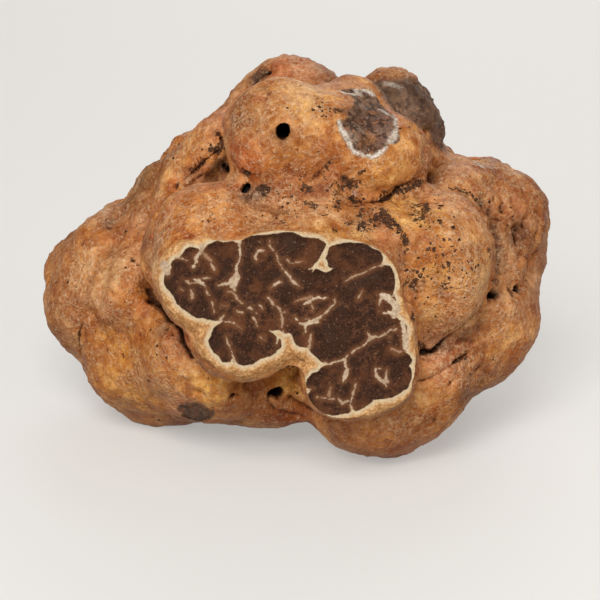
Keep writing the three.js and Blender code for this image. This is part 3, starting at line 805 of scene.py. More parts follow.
# %% How deep in the flesh, how deep in a vein
points = points_of(mesh)
on_cut = np.zeros(len(points), bool)
for polygon in mesh.polygons:
    if polygon.material_index == 1:
        on_cut[list(polygon.vertices)] = True
cut = np.flatnonzero(on_cut)
gleba, vein = np.full((2, len(points)), -2.0)
tone = np.zeros(len(points))
gleba[cut] = depth_inside(FLESH_OUTLINE, points[cut])
seen, best = in_view(points[cut]), vein[cut]
for white, line in VEINS:
    for (x0, y0, w0), (x1, y1, w1) in zip(line, line[1:]):
        a, edge = np.array([x0, y0]), np.array([x1 - x0, y1 - y0])
        t = np.clip(((seen - a) @ edge) / max(edge @ edge, 1e-9), 0, 1)
        depth = w0 + (w1 - w0) * t - np.hypot(*(seen - a - t[:, None] * edge).T)
        nearer = depth > best
        best = np.where(nearer, depth, best)
        tone[cut[nearer]] = white
vein[cut] = best
print("vein points:", int((vein > 0).sum()), "of", len(cut))


# %% [markdown]
# ## Relief of the face
# Fresh flesh shrinks a little below its rind, and the veins stay proud of it. Where the rind is broad it
# doesn't end in a knife edge: it rolls over towards the skin, so the cut's rim sinks there and drags the
# skin along.

# %% Sink the flesh, raise the veins, roll the lip over
FLESH_SINKS = 0.14
VEINS_STAND = 0.035
GRAIN_STANDS = 0.02
LIP_STARTS = 0.35  # outside the dark flesh
LIP_WIDTH = 1.1
LIP_DROP = 0.75
LIP_REACH = 1.3  # on the skin

net = Neighbours(mesh)
on_rim = on_cut & (net.mean(on_cut.astype(float)) < 0.999)
sunk = FLESH_SINKS * step(0.0, 0.45, gleba)
sunk -= VEINS_STAND * step(-0.08, 0.06, vein) * step(0.1, 0.4, gleba)
sunk += GRAIN_STANDS * step(0, 0.2, gleba) * clouds(points, 0.35, 1)
outside = np.clip((-gleba - LIP_STARTS) / LIP_WIDTH, 0, 1) * on_cut
lip = LIP_DROP * outside**1.8
rim_at = np.flatnonzero(on_rim)
rim_gap = distance_to(points[rim_at], points, 2.5)
near_lip = np.flatnonzero(~on_cut & (rim_gap < LIP_REACH))
beside = rim_at[nearest(points[rim_at], points[near_lip])[0]]
lip[near_lip] = lip[beside] * step(LIP_REACH, 0.0, rim_gap[near_lip])
points = points - np.array(FACE_NORMAL) * (sunk * on_cut + lip)[:, None]
rolled = step(0.02, 0.2, lip)[:, None]
points = points + rolled * (net.soften(points, 8) - points)
put_points(mesh, points)
print("lip rolled over by up to", round(float(lip.max()), 2), "mm")


# %% [markdown]
# ## Washes of colour
# No two folds of a bianchetto have the same ochre. A painter would mix a few tones and lay them on in
# large soft washes, then put stains over them: bruises, rust spots, greyish hollows. So it is done here. A
# few washes and stains are painted shade or painted light instead, as noted where they stand. A wash is a
# place and a reach; between the washes the skin keeps an ochre that drifts slowly. A stain has a strength
# as well.

# %% Colours and washes
def linear(*rgb):
    """A colour from the painter's 0 to 255 scale to the linear one that shaders use."""
    shares = [c / 255 for c in rgb]
    return tuple(c / 12.92 if c <= 0.04045 else ((c + 0.055) / 1.055) ** 2.4 for c in shares)


# painted light: a bright tone that lifts the shade on the skin below the lip
SUNLIT = linear(250, 192, 108)
CREAM = linear(226, 176, 122)
CHALKY = linear(206, 174, 136)
PEACH = linear(208, 154, 112)
STRAW = linear(212, 162, 98)
ROSE = linear(200, 142, 100)
HONEY = linear(200, 138, 80)
BLUSH = linear(194, 128, 94)
ASH = linear(150, 130, 114)
CLAY = linear(178, 124, 82)
TAN = linear(188, 130, 66)
AMBER = linear(188, 118, 50)
DRAB = linear(160, 112, 84)
TAWNY = linear(166, 108, 66)
GOLD = linear(180, 114, 42)
RUST = linear(182, 94, 48)
DUST = linear(134, 104, 80)
MUD = linear(150, 98, 52)
UMBER = linear(134, 90, 62)
COPPER = linear(154, 84, 44)
BRUISE = linear(104, 76, 70)
BARK = linear(108, 66, 42)
# dark soot, and painted shade where it is laid along the bulge's right edge
SOOT_AND_SHADE = linear(72, 46, 34)
# painted shade: near black for the inside of holes
HOLE_SHADE = linear(31, 17, 11)
SCARRED = linear(86, 65, 53)
BETWEEN_WASHES = 0.15  # how much the drifting ochre weighs
WASHES = [  # tone, then (across, up, reach) places
    # painted light: these two washes lift the shade below the lip
    (SUNLIT, [(-7.6, -7.8, 1.6), (-0.8, -6.7, 1.4)]),
    (CREAM, [(-1.0, 18.2, 2.0), (-13.1, 2.2, 0.9), (11.7, -1.4, 1.0), (16.2, 1.8, 1.6)]),
    (PEACH, [(-19.2, 2.7, 1.5), (-16.5, 3.0, 1.6), (-8.6, 14.8, 1.0)]),
    (STRAW, [(-8.0, 5.7, 0.8), (2.5, 6.1, 1.0), (5.5, 5.8, 0.8), (10.0, 7.9, 1.3), (7.6, 12.0, 1.3)]),
    (ROSE, [(14.4, -1.2, 1.3), (15.0, 8.2, 1.5), (12.5, 9.2, 1.2), (17.3, 9.7, 1.5), (21.0, 1.8, 1.4),
            (19.2, -1.5, 2.0), (-18.7, 7.5, 1.2), (-14.8, 6.2, 1.6), (-17.5, -1.0, 1.6),
            (-2.0, -9.3, 0.9)]),
    (HONEY, [(2.5, 17.0, 2.5), (6.0, 12.3, 2.0), (10.2, 13.5, 1.6), (-7.0, 8.2, 2.0), (14.5, 3.5, 3.0),
             (18.5, -3.2, 1.5), (12.0, -8.3, 2.0), (-13.2, -1.8, 1.2), (-11.0, -7.0, 1.5),
             (-3.0, -6.3, 1.2), (7.0, -11.8, 2.0), (9.3, -9.8, 1.3), (-11.4, 11.5, 1.0),
             (-9.5, 13.5, 1.6)]),
    (BLUSH, [(0.0, 21.3, 2.0), (13.0, -6.0, 1.5), (-7.6, 16.6, 1.5)]),
    (CLAY, [(-5.5, 19.0, 2.0), (-12.5, 5.4, 1.5), (-4.5, 7.5, 1.5), (-3.0, 6.5, 0.8), (2.0, 8.2, 2.5),
            (13.5, 11.8, 1.6), (18.0, 6.5, 1.5), (19.2, 3.3, 1.5), (15.0, -4.3, 1.5), (-20.3, 6.0, 2.0),
            (-18.8, -4.5, 1.5), (-14.2, 8.8, 1.5), (18.0, 12.8, 1.5)]),
    (TAN, [(0.0, 15.0, 2.5), (6.5, 20.8, 1.0), (12.0, 6.7, 1.5), (11.3, 3.6, 1.5), (-13.8, -6.3, 2.0),
           (-14.0, -9.0, 2.0), (-3.5, -11.5, 2.0)]),
    (AMBER, [(-10.5, 6.5, 2.0), (-9.5, 8.0, 1.5), (-14.9, 0.3, 1.5)]),
    (DRAB, [(2.5, 20.5, 1.5), (-9.6, 11.3, 0.9), (-16.8, 7.6, 1.5)]),
    (TAWNY, [(20.7, 8.8, 2.2), (19.5, 11.0, 1.6), (21.5, 5.0, 1.5), (17.0, -6.0, 2.0),
             (10.3, -11.5, 2.0), (-21.5, 1.5, 2.0), (-20.3, -0.5, 1.8), (-5.5, -9.0, 1.8),
             (3.5, -12.0, 1.5), (6.5, -14.0, 2.0), (13.8, 14.0, 1.2)]),
    (GOLD, [(-16.3, -4.3, 2.2)]),
    (RUST, [(-5.0, 13.0, 1.5)]),
    (DUST, [(-15.0, 10.8, 1.6)]),
    # the washes at (-4.7, 15.8) and (0.5, 12.2) are darker partly as painted shade on the crown's left and
    # underside
    (MUD, [(-4.7, 15.8, 2.3), (0.5, 10.6, 1.5), (4.5, 9.3, 1.2), (15.5, -8.8, 1.8), (-21.0, -4.0, 2.0),
           (-8.0, -12.0, 2.0), (-13.0, 12.0, 1.4)]),
    (COPPER, [(0.5, 12.2, 2.5), (-1.0, -11.0, 1.5)]),
    (BRUISE, [(9.5, 18.0, 2.2)]),
]
STAINS = [  # across, up, reach, strength, tone; later ones lie over earlier ones
    (-19.9, 2.8, 1.3, 0.6, CREAM), (-16.9, 2.6, 1.1, 0.6, CHALKY), (-15.1, 0.1, 1.1, 0.6, AMBER),
    (-17.5, -2.9, 1.7, 0.6, TAN), (-18.7, -5.4, 1.3, 0.6, TAN), (-12.4, -5.0, 1.4, 0.5, ROSE),
    (-14.0, -6.8, 1.4, 0.5, PEACH), (-16.9, -7.4, 1.2, 0.5, STRAW), (-21.6, 0.1, 1.2, 0.6, TAWNY),
    (-21.2, -3.9, 1.3, 0.6, TAWNY), (-19.5, 0.5, 0.8, 0.5, TAWNY), (-15.6, 6.6, 0.9, 0.6, UMBER),
    (-17.1, 7.0, 0.5, 0.7, BARK), (-14.6, 8.1, 1.0, 0.6, UMBER), (-14.2, 6.2, 0.8, 0.6, PEACH),
    (-19.5, 7.1, 1.0, 0.5, HONEY), (-21.2, 4.4, 1.0, 0.5, CLAY), (-14.6, 2.0, 1.0, 0.5, PEACH),
    (14.4, 5.5, 1.2, 0.5, PEACH), (12.5, 2.5, 1.0, 0.5, TAN), (15.7, -0.4, 1.0, 0.5, PEACH),
    (13.5, -2.5, 0.8, 0.4, HONEY), (16.7, 9.5, 1.2, 0.5, ROSE), (14.6, 11.7, 1.1, 0.5, BLUSH),
    (20.3, 10.6, 1.4, 0.5, TAWNY), (19.8, 6.4, 0.7, 0.7, SOOT_AND_SHADE), (19.1, 5.5, 0.7, 0.6, BRUISE),
    (18.6, 3.0, 1.0, 0.6, ROSE), (20.8, 2.5, 1.0, 0.5, CLAY), (19.9, 0.85, 0.5, 0.7, BARK),
    (19.3, -0.4, 1.0, 0.5, HONEY), (19.1, -3.0, 1.3, 0.5, HONEY), (15.2, -3.8, 0.8, 0.5, BLUSH),
    (11.8, -1.3, 0.9, 0.6, CHALKY), (9.8, 7.9, 0.9, 0.6, CREAM), (8.0, 12.3, 0.9, 0.5, CREAM),
    (9.3, 12.2, 0.6, 0.4, STRAW), (-13.6, 3.2, 0.8, 0.4, CHALKY), (1.2, 17.4, 1.2, 0.4, STRAW),
    # the near-black stains on this line and below paint the shade inside holes
    (-4.15, 19.85, 0.42, 0.95, HOLE_SHADE), (-3.6, 20.2, 0.75, 0.95, HOLE_SHADE), (-3.05, 20.5, 0.42, 0.95, HOLE_SHADE),
    (5.4, 15.6, 0.9, 0.8, SOOT_AND_SHADE), (6.5, 13.6, 0.7, 0.8, SOOT_AND_SHADE), (8.3, 14.8, 0.6, 0.8, ASH),
    (4.5, 14.6, 0.6, 0.7, ASH), (6.4, 14.7, 0.5, 0.9, MUD), (5.9, 14.2, 0.35, 0.8, MUD),
    (5.5, 17.8, 0.9, 0.7, DUST), (6.4, 18.0, 0.8, 0.7, DUST), (3.9, 16.9, 0.6, 0.8, UMBER),
    (7.2, 16.0, 0.8, 0.7, BRUISE), (7.5, 14.6, 0.6, 0.7, BRUISE), (6.5, 16.8, 0.5, 0.6, SOOT_AND_SHADE),
    (-0.7, 15.0, 0.6, 0.6, DRAB), (-2.4, 14.7, 0.5, 0.6, DUST), (-1.5, 14.3, 0.6, 0.7, DUST),
    (-1.4, 16.2, 0.5, 0.5, BLUSH), (-5.05, 11.5, 0.3, 1.0, HOLE_SHADE), (-4.7, 11.3, 0.34, 1.0, HOLE_SHADE),
    (-4.5, 9.3, 0.45, 0.9, SOOT_AND_SHADE), (-4.75, 9.6, 0.4, 0.85, BRUISE), (-4.4, 10.0, 0.35, 0.85, BRUISE),
    (-4.9, 9.2, 0.6, 0.9, BRUISE), (-4.0, 9.4, 0.6, 0.9, BRUISE), (-5.6, 9.8, 0.5, 0.7, BRUISE),
    (-3.3, 9.9, 0.7, 0.8, SOOT_AND_SHADE), (-5.2, 9.6, 0.6, 0.6, UMBER), (-5.9, 10.1, 0.7, 0.6, RUST),
    (-6.2, 10.9, 0.8, 0.4, ASH), (-3.6, 18.2, 0.6, 0.6, RUST), (-1.7, 18.0, 0.6, 0.5, AMBER),
    (-2.6, 19.2, 0.7, 0.5, AMBER), (-5.4, 13.8, 0.6, 0.4, COPPER), (-3.1, 19.0, 0.4, 0.7, BRUISE),
    (1.8, 20.8, 0.9, 0.5, DUST), (8.6, 5.4, 0.7, 0.7, TAWNY), (8.9, 4.4, 0.6, 0.8, UMBER),
    (9.2, 3.2, 0.5, 0.6, UMBER), (5.4, 6.9, 0.9, 0.6, DUST), (6.2, 5.9, 0.7, 0.5, DRAB),
    (7.6, 6.2, 0.8, 0.5, BLUSH), (-14.7, -3.2, 0.6, 0.7, COPPER), (-16.2, -7.5, 0.4, 0.6, PEACH),
    (-14.0, -0.4, 0.6, 0.6, RUST), (-17.3, 6.7, 0.6, 0.6, BARK), (-16.8, 4.3, 0.7, 0.6, DUST),
    (-17.6, 3.4, 0.7, 0.5, CHALKY), (-15.9, 10.1, 1.0, 0.6, DUST), (-18.0, 8.0, 0.6, 0.6, DUST),
    (-12.4, -2.6, 0.6, 0.5, ASH), (13.3, 11.9, 0.9, 0.5, COPPER), (11.3, 12.3, 0.7, 0.5, COPPER),
    (15.7, 9.9, 0.6, 0.6, RUST), (16.4, 9.3, 0.6, 0.5, TAN), (19.0, 11.4, 0.8, 0.6, CHALKY),
    (20.3, 11.5, 0.5, 0.5, ASH), (18.7, 11.0, 0.6, 0.5, TAWNY), (19.4, 10.0, 0.6, 0.5, MUD),
    (19.4, 7.0, 0.8, 0.6, BARK), (20.3, 5.9, 0.7, 0.7, BARK), (19.6, 5.1, 0.8, 0.6, BARK),
    # the dark stains from (16.2, 8.8) down to (17.6, 1.7) paint the shade where the bulge overlaps the flank
    (20.6, 2.8, 0.6, 0.5, TAWNY), (19.2, 3.4, 0.5, 0.6, PEACH), (16.2, 8.8, 0.5, 0.85, SOOT_AND_SHADE),
    (16.9, 7.8, 0.5, 0.85, SOOT_AND_SHADE), (17.45, 6.6, 0.5, 0.85, SOOT_AND_SHADE), (17.7, 5.6, 0.5, 0.85, SOOT_AND_SHADE),
    (17.8, 4.6, 0.5, 0.85, SOOT_AND_SHADE), (17.8, 3.6, 0.5, 0.85, SOOT_AND_SHADE), (17.7, 2.6, 0.5, 0.85, SOOT_AND_SHADE),
    # the bright stain at (-1.0, -6.6) is painted light that lifts the shade below the lip
    (17.6, 1.7, 0.5, 0.85, SOOT_AND_SHADE), (-1.0, -6.6, 1.0, 0.6, SUNLIT), (-20.9, -2.6, 1.0, 0.5, ROSE),
    (14.9, -8.4, 1.2, 0.6, BARK), (17.1, 0.1, 0.9, 0.7, COPPER), (17.6, 0.4, 0.7, 0.8, SOOT_AND_SHADE),
    (19.0, 0.4, 0.5, 0.6, BRUISE), (18.8, -2.7, 0.7, 0.5, AMBER), (17.1, -4.8, 0.6, 0.6, GOLD),
    (16.0, -2.4, 0.9, 0.7, UMBER), (14.7, -3.2, 0.8, 0.7, BARK), (12.8, -4.2, 0.8, 0.7, BRUISE),
    (11.3, 5.6, 0.5, 0.6, COPPER), (12.2, 5.4, 0.4, 0.5, COPPER), (12.8, 1.0, 0.7, 0.5, UMBER),
    (13.0, -0.3, 0.5, 0.6, GOLD), (10.9, 1.4, 0.7, 0.5, MUD), (10.1, -0.6, 0.4, 0.5, GOLD),
    (-0.5, -7.0, 0.8, 0.4, TAN), (-10.0, -7.2, 0.6, 0.6, MUD), (-9.9, -8.0, 0.5, 0.6, UMBER),
    (-10.2, -8.6, 0.4, 0.5, TAWNY), (-4.6, -7.1, 0.7, 0.5, BRUISE), (-6.5, -8.2, 0.6, 0.5, MUD),
    (-11.4, 10.5, 0.7, 0.7, RUST), (-12.1, 9.9, 0.5, 0.6, AMBER), (-6.9, 15.8, 0.6, 0.6, COPPER),
    (-7.4, 15.0, 0.5, 0.5, BARK), (-9.5, 13.0, 0.8, 0.5, AMBER), (6.5, 20.3, 0.8, 0.6, AMBER),
    (8.6, 20.4, 0.6, 0.6, TAN), (8.8, 17.1, 0.22, 0.9, TAN), (11.2, 15.15, 0.3, 0.9, TAN),
    (-8.6, 7.7, 0.5, 0.5, CREAM), (-13.3, 5.7, 0.35, 0.7, RUST), (-10.6, 7.3, 0.9, 0.5, AMBER),
    (-9.4, 7.6, 0.6, 0.4, AMBER), (-8.2, 8.9, 0.7, 0.5, AMBER), (2.3, 9.9, 1.0, 0.4, TAWNY),
    (8.2, 9.5, 0.9, 0.6, BARK),
]


def mixed(a, b, share):
    return np.array(a) + (np.array(b) - np.array(a)) * share[:, None]


tree = tree_of(points, mesh)
wash = mixed(HONEY, BLUSH, step(0.0, 0.5, clouds(points, 7.0, 2, seed=11)))
wash = mixed(wash, TAWNY, step(0.0, 0.5, clouds(points, 5.0, 2, seed=23)))
total = np.full(len(points), BETWEEN_WASHES)
wash = wash * total[:, None]
for colour, places in WASHES:
    for place in places:
        weight = around(points, *place)
        wash += weight[:, None] * np.array(colour)
        total += weight
wash /= total[:, None]
wash = mixed(wash, SCARRED, 0.9 * step(-0.1, 0.15, scar_depth(points, "crown", "low")))
for across, up, reach, strength, colour in STAINS:
    wash = mixed(wash, colour, strength * around(points, across, up, reach))
print("washes:", sum(len(places) for _, places in WASHES), "stains:", len(STAINS))


# %% [markdown]
# ## Where dirt and shade gather
# The skin is darkened where it is hollow and where little light comes: painted shade with some dirt.
# Soil also lies in smears and freckles of its own. How open the sky is above each point is measured with a
# fan of short rays; how hollow it is, with the smooth brush again.

# %% Hollows and openness
normals = points_of(mesh, "normal")
hollow = ((net.soften(points, 8) - points) * normals).sum(1)
SIDES = (-1, 0, 1)
FAN = [Vector((x, y, z)).normalized() for x in SIDES for y in SIDES for z in SIDES if x or y or z]
RAY_LENGTH = 6.0
RAY_STARTS = 0.12  # above the skin
GRAZING = 0.15  # rays that lean more than this don't count
openness = np.ones(len(points))
for k in np.flatnonzero(~on_cut):
    normal = Vector(normals[k])
    start = Vector(points[k]) + normal * RAY_STARTS
    got = sent = 0.0
    for ray in FAN:
        facing = normal.dot(ray)
        if facing > GRAZING:
            sent += facing
            gap = tree.ray_cast(start, ray, RAY_LENGTH)[3]
            got += facing * (1 if gap is None else (gap / RAY_LENGTH) ** 2)
    openness[k] = got / sent
openness = net.soften(openness, 2)
print("most shut in:", round(float(openness.min()), 2))

# %% Where soil lies
SOIL_SMEARS = {  # how thick, then lines of (across, up, half width) places
    1.0: [
        [(-7.0, 14.2, 0.3), (-7.5, 13.4, 0.35), (-8.1, 13.6, 0.25)], [(3.9, 10.9, 0.3), (4.3, 10.5, 0.4)],
        [(4.7, 9.1, 0.35), (4.9, 8.8, 0.3), (5.4, 8.9, 0.25)],
        [(8.7, 9.7, 0.2), (9.3, 9.8, 0.3), (10.2, 10.2, 0.3), (10.7, 10.5, 0.35), (11.0, 10.7, 0.2)],
        [(6.5, 7.2, 0.25), (7.2, 7.5, 0.4), (7.7, 7.6, 0.4), (7.3, 8.2, 0.2)],
        [(7.7, 7.0, 0.25), (8.1, 6.6, 0.3), (8.4, 6.7, 0.2)],
        [(8.1, 7.3, 0.3), (8.6, 6.8, 0.25), (9.0, 6.5, 0.3)],
        [(9.4, 5.9, 0.2), (9.4, 5.5, 0.35), (9.6, 5.1, 0.25)],
        [(10.4, 8.5, 0.2), (10.9, 8.6, 0.25), (11.3, 8.6, 0.35), (11.4, 8.1, 0.3), (11.1, 7.7, 0.3)],
        [(10.2, 7.0, 0.12), (10.4, 7.2, 0.22), (10.7, 7.4, 0.2)], [(10.0, 1.3, 0.25), (10.4, 1.7, 0.3)],
        [(10.1, -1.2, 0.12), (10.1, -1.75, 0.3)], [(10.6, -3.9, 0.25), (11.0, -4.2, 0.4)],
    ],
    0.9: [
        [(-3.9, 9.9, 0.3), (-3.3, 10.0, 0.45), (-2.8, 10.0, 0.25)], [(0.4, 10.0, 0.3), (1.0, 9.9, 0.3)],
        [(5.4, 11.4, 0.25), (5.8, 11.6, 0.25)], [(7.4, 9.4, 0.3), (7.8, 9.7, 0.2)],
        [(12.2, 8.8, 0.12), (12.6, 8.5, 0.2)], [(2.9, 6.3, 0.15), (3.2, 6.2, 0.22)],
        [(3.2, 17.1, 0.3), (3.6, 17.0, 0.2)],
    ],
    0.8: [
        [(-8.7, 12.4, 0.35), (-9.7, 11.7, 0.35)], [(0.1, 11.2, 0.2), (0.2, 10.7, 0.25)],
        [(1.3, 11.2, 0.2), (1.9, 11.4, 0.3), (2.3, 11.9, 0.3), (2.8, 12.4, 0.25)],
        [(0.6, 8.7, 0.3), (1.3, 8.4, 0.25)], [(5.0, 10.2, 0.25), (5.4, 10.6, 0.3)],
        [(3.3, 9.0, 0.2), (3.4, 8.2, 0.25)], [(2.0, 7.7, 0.15), (2.3, 7.6, 0.2)],
        [(8.7, 6.3, 0.2), (9.2, 6.1, 0.25)], [(12.1, 9.4, 0.2), (12.6, 9.5, 0.25)],
        [(13.4, 10.0, 0.15), (14.1, 10.0, 0.2), (15.4, 9.5, 0.25)], [(15.6, 9.2, 0.15), (16.3, 8.4, 0.2)],
        [(12.4, 7.1, 0.15), (12.7, 6.8, 0.2)], [(5.4, 6.6, 0.35), (6.0, 6.8, 0.3)],
        [(5.2, 6.3, 0.2), (6.3, 6.3, 0.2)], [(4.1, 6.8, 0.2), (4.7, 7.0, 0.25)],
        [(9.3, 1.3, 0.3), (9.7, 1.8, 0.3)], [(12.7, 1.1, 0.25), (13.1, 1.5, 0.35)],
        [(10.7, -0.5, 0.2), (11.2, -0.3, 0.2)], [(13.2, -3.0, 0.3), (13.5, -2.9, 0.2)],
        [(14.0, -5.7, 0.2), (14.9, -5.2, 0.25)],
    ],
    0.7: [
        [(1.7, 9.8, 0.25), (2.2, 9.8, 0.2)], [(10.1, 10.7, 0.25), (10.6, 11.6, 0.2)],
        [(9.4, 4.7, 0.15), (9.4, 3.4, 0.15), (9.4, 2.6, 0.15)], [(13.2, 9.2, 0.12), (13.7, 8.9, 0.15)],
        [(-7.9, 7.6, 0.25), (-8.2, 7.1, 0.3), (-8.7, 7.2, 0.2)], [(12.4, 0.4, 0.2), (12.7, 0.8, 0.2)],
        [(13.1, 2.8, 0.15), (13.7, 2.6, 0.2), (14.0, 2.7, 0.12)], [(16.7, 4.7, 0.15), (17.2, 4.1, 0.2)],
        [(17.4, 6.3, 0.25), (17.5, 5.0, 0.25)], [(1.6, 17.3, 0.12), (2.6, 17.3, 0.15)],
        [(-0.1, -5.1, 0.25), (0.5, -5.7, 0.25)], [(-0.8, -6.0, 0.2), (0.0, -6.2, 0.2)],
        [(-2.0, -5.5, 0.2), (-2.1, -5.9, 0.2)],
    ],
    0.6: [
        [(-2.3, 9.8, 0.3), (-1.2, 10.6, 0.2)], [(3.0, 12.1, 0.15), (3.4, 11.8, 0.15)],
        [(1.7, 18.1, 0.2), (2.2, 17.6, 0.2)],
    ],
    0.5: [
        [(-2.3, 7.0, 0.3), (-1.3, 7.0, 0.3)], [(-3.3, 7.6, 0.2), (-2.7, 7.2, 0.2)],
    ],
}
SOIL_FIELDS = [  # freckled stretches: across, up, reach, strength
    (13.0, 3.0, 4.0, 0.6), (11.0, 7.5, 2.5, 0.7), (6.5, 7.5, 2.5, 0.75), (3.5, 10.0, 2.5, 0.7),
    (-0.5, 9.5, 2.5, 0.5), (2.3, 17.5, 1.5, 0.5), (10.5, 0.0, 2.0, 0.5), (12.5, -2.5, 2.0, 0.45),
    (-8.0, 7.0, 1.5, 0.3), (17.5, 7.0, 3.0, 0.35), (-12.5, -3.3, 1.5, 0.45), (-0.8, -5.8, 1.8, 0.5),
    (-8.0, 13.2, 1.5, 0.4), (14.0, 12.0, 2.0, 0.3),
]
CRUST_FIELDS = [  # where the pale crust is thick: across, up, reach, strength
    (15.3, 1.5, 2.2, 1.0), (14.2, -2.0, 2.2, 1.0), (12.0, -3.8, 2.0, 1.0), (15.8, 4.5, 2.0, 0.8),
    (15.0, 7.5, 2.0, 0.7), (13.5, 9.5, 1.5, 0.8), (12.8, 6.5, 1.5, 0.5), (10.5, 1.5, 1.5, 0.6),
    (10.3, -2.5, 1.3, 0.8), (-1.0, 18.3, 2.2, 0.9), (1.5, 17.5, 1.5, 0.6), (-5.5, 16.5, 1.5, 0.9),
    (-3.5, 8.7, 2.0, 0.8), (-1.5, 8.0, 1.8, 0.8), (1.0, 8.0, 1.2, 0.5), (-9.0, 7.8, 2.0, 0.9),
    (-7.0, 9.0, 1.5, 0.7), (-12.8, 5.5, 1.5, 0.9), (-13.3, 3.0, 1.5, 1.0), (-12.0, 7.5, 1.5, 0.7),
    (-11.0, 13.5, 1.5, 0.8), (-14.5, -7.0, 2.0, 0.7), (-12.3, -8.0, 1.8, 0.8), (-19.5, 2.7, 1.8, 0.9),
    (-17.2, -1.2, 1.6, 0.8), (-15.5, 2.5, 1.5, 0.8), (13.5, 11.5, 2.0, 0.7), (16.6, 9.8, 1.6, 0.8),
    (18.6, 3.0, 1.6, 0.8), (14.0, -6.5, 2.0, 0.6), (19.2, -1.5, 1.8, 0.6), (-3.0, -11.5, 2.0, 0.5),
    (11.0, 12.8, 0.9, 0.8), (-10.0, 10.6, 1.0, 0.5), (8.5, -11.0, 2.0, 0.6),
]
crust = 0.8 * step(0.15, 0.6, clouds(points, 5.0, 2, seed=41)) * step(-2, 4, points[:, 1])
crust = np.maximum(spread(CRUST_FIELDS, points), crust)
freckled = spread(SOIL_FIELDS, points, 0.10)
freckled += 0.25 * step(0.2, 0.7, clouds(points, 5.0, 2, seed=31)) * step(-4, 4, points[:, 1])
smear, thick = depth_in_strokes(SOIL_SMEARS, points)
soil = np.maximum(freckled, thick * step(-0.22, 0.10, smear))
print("soil and crust, means:", round(float(soil.mean()), 3), round(float(crust.mean()), 3))

# %% Chalk: whitish crust where skin was lost
CHALK_STROKES = {  # how white, then lines of (across, up, half width) places
    1.0: [
        [(3.5, 16.1, 0.14), (3.6, 15.6, 0.22), (3.9, 15.0, 0.24), (4.2, 14.5, 0.22), (4.5, 13.9, 0.16),
         (4.9, 13.3, 0.15), (5.5, 13.1, 0.13), (6.1, 12.95, 0.11), (6.6, 12.85, 0.16), (7.1, 13.1, 0.2),
         (7.5, 13.4, 0.2), (7.8, 13.8, 0.08)],
        [(3.6, 18.8, 0.12), (4.3, 18.6, 0.22), (4.9, 18.5, 0.16)], [(5.0, 18.9, 0.2), (5.3, 18.5, 0.22)],
        [(5.7, 18.9, 0.22), (6.3, 18.7, 0.25), (6.8, 18.4, 0.15)],
        [(15.7, 12.4, 0.14), (16.3, 12.1, 0.22), (16.6, 11.9, 0.1)],
    ],
    0.8: [
        [(8.2, 14.3, 0.28), (8.5, 14.8, 0.24), (8.7, 15.5, 0.14), (8.6, 16.2, 0.2), (8.2, 16.6, 0.22),
         (7.7, 16.9, 0.2), (7.2, 17.1, 0.12)],
    ],
    0.6: [
        [(-8.6, -2.9, 0.2), (-8.5, -3.5, 0.25)],
    ],
    0.5: [
        [(4.9, 9.7, 0.1), (5.0, 9.5, 0.12)],
    ],
    0.45: [
        [(7.6, 19.5, 0.15), (8.4, 19.4, 0.2), (9.2, 19.0, 0.14)],
    ],
}
chalk_depth, chalk_tone = depth_in_strokes(CHALK_STROKES, points)
scar = scar_depth(points, "crown", "low")
lobe = scar_depth(points, "lobe")
print("points in chalk:", int((chalk_depth > 0).sum()), "in scars:", int((np.maximum(scar, lobe) > 0).sum()))


# %% Keep all this on the points
def keep_colours(name, values):
    layer = mesh.attributes.new(name, "FLOAT_COLOR", "POINT")
    rgba = np.concatenate([values, np.ones((len(values), 1))], axis=1)
    layer.data.foreach_set("color", np.ascontiguousarray(rgba, dtype=np.float32).ravel())


keep_colours("wash", wash)
numbers = {"gleba": gleba, "vein": vein, "tone": tone, "hollow": hollow, "rim_gap": rim_gap, "soil": soil,
           "openness": openness, "scar": scar, "lobe": lobe, "chalk_depth": chalk_depth,
           "chalk_tone": chalk_tone, "crust": crust}
for name, values in numbers.items():
    keep_numbers(mesh, name, values)
print("kept on each point:", ", ".join(["crease_shade", "pit", "wash", *numbers]))


# %% [markdown]
# ## Soil crumbs
# Dry earth clings to the skin in crumbs. Three angular crumb shapes are modelled once and copied wherever
# the soil is thick: two plain ones for small crumbs, and one with more faces for the larger ones, which
# lie where the soil is thickest. Each copy is stretched and turned its own way.

# %% Three crumb shapes
def crumb_shape(cuts, seed):
    bpy.ops.object.select_all(action="DESELECT")
    bpy.ops.mesh.primitive_ico_sphere_add(subdivisions=cuts, radius=1)
    crumb = bpy.context.object
    verts = [v.co * (1 + 0.75 * noise.noise(v.co * 1.7 + Vector((seed, 0, 0)))) for v in crumb.data.vertices]
    faces = [tuple(p.vertices) for p in crumb.data.polygons]
    bpy.data.objects.remove(crumb)
    return np.array(verts), np.array(faces)


rng = np.random.default_rng(4)
PLAIN = [crumb_shape(1, 3.0), crumb_shape(1, 8.0)]
FINE = crumb_shape(2, 5.0)
print("faces of the shapes:", [len(sides) for _, sides in (*PLAIN, FINE)])

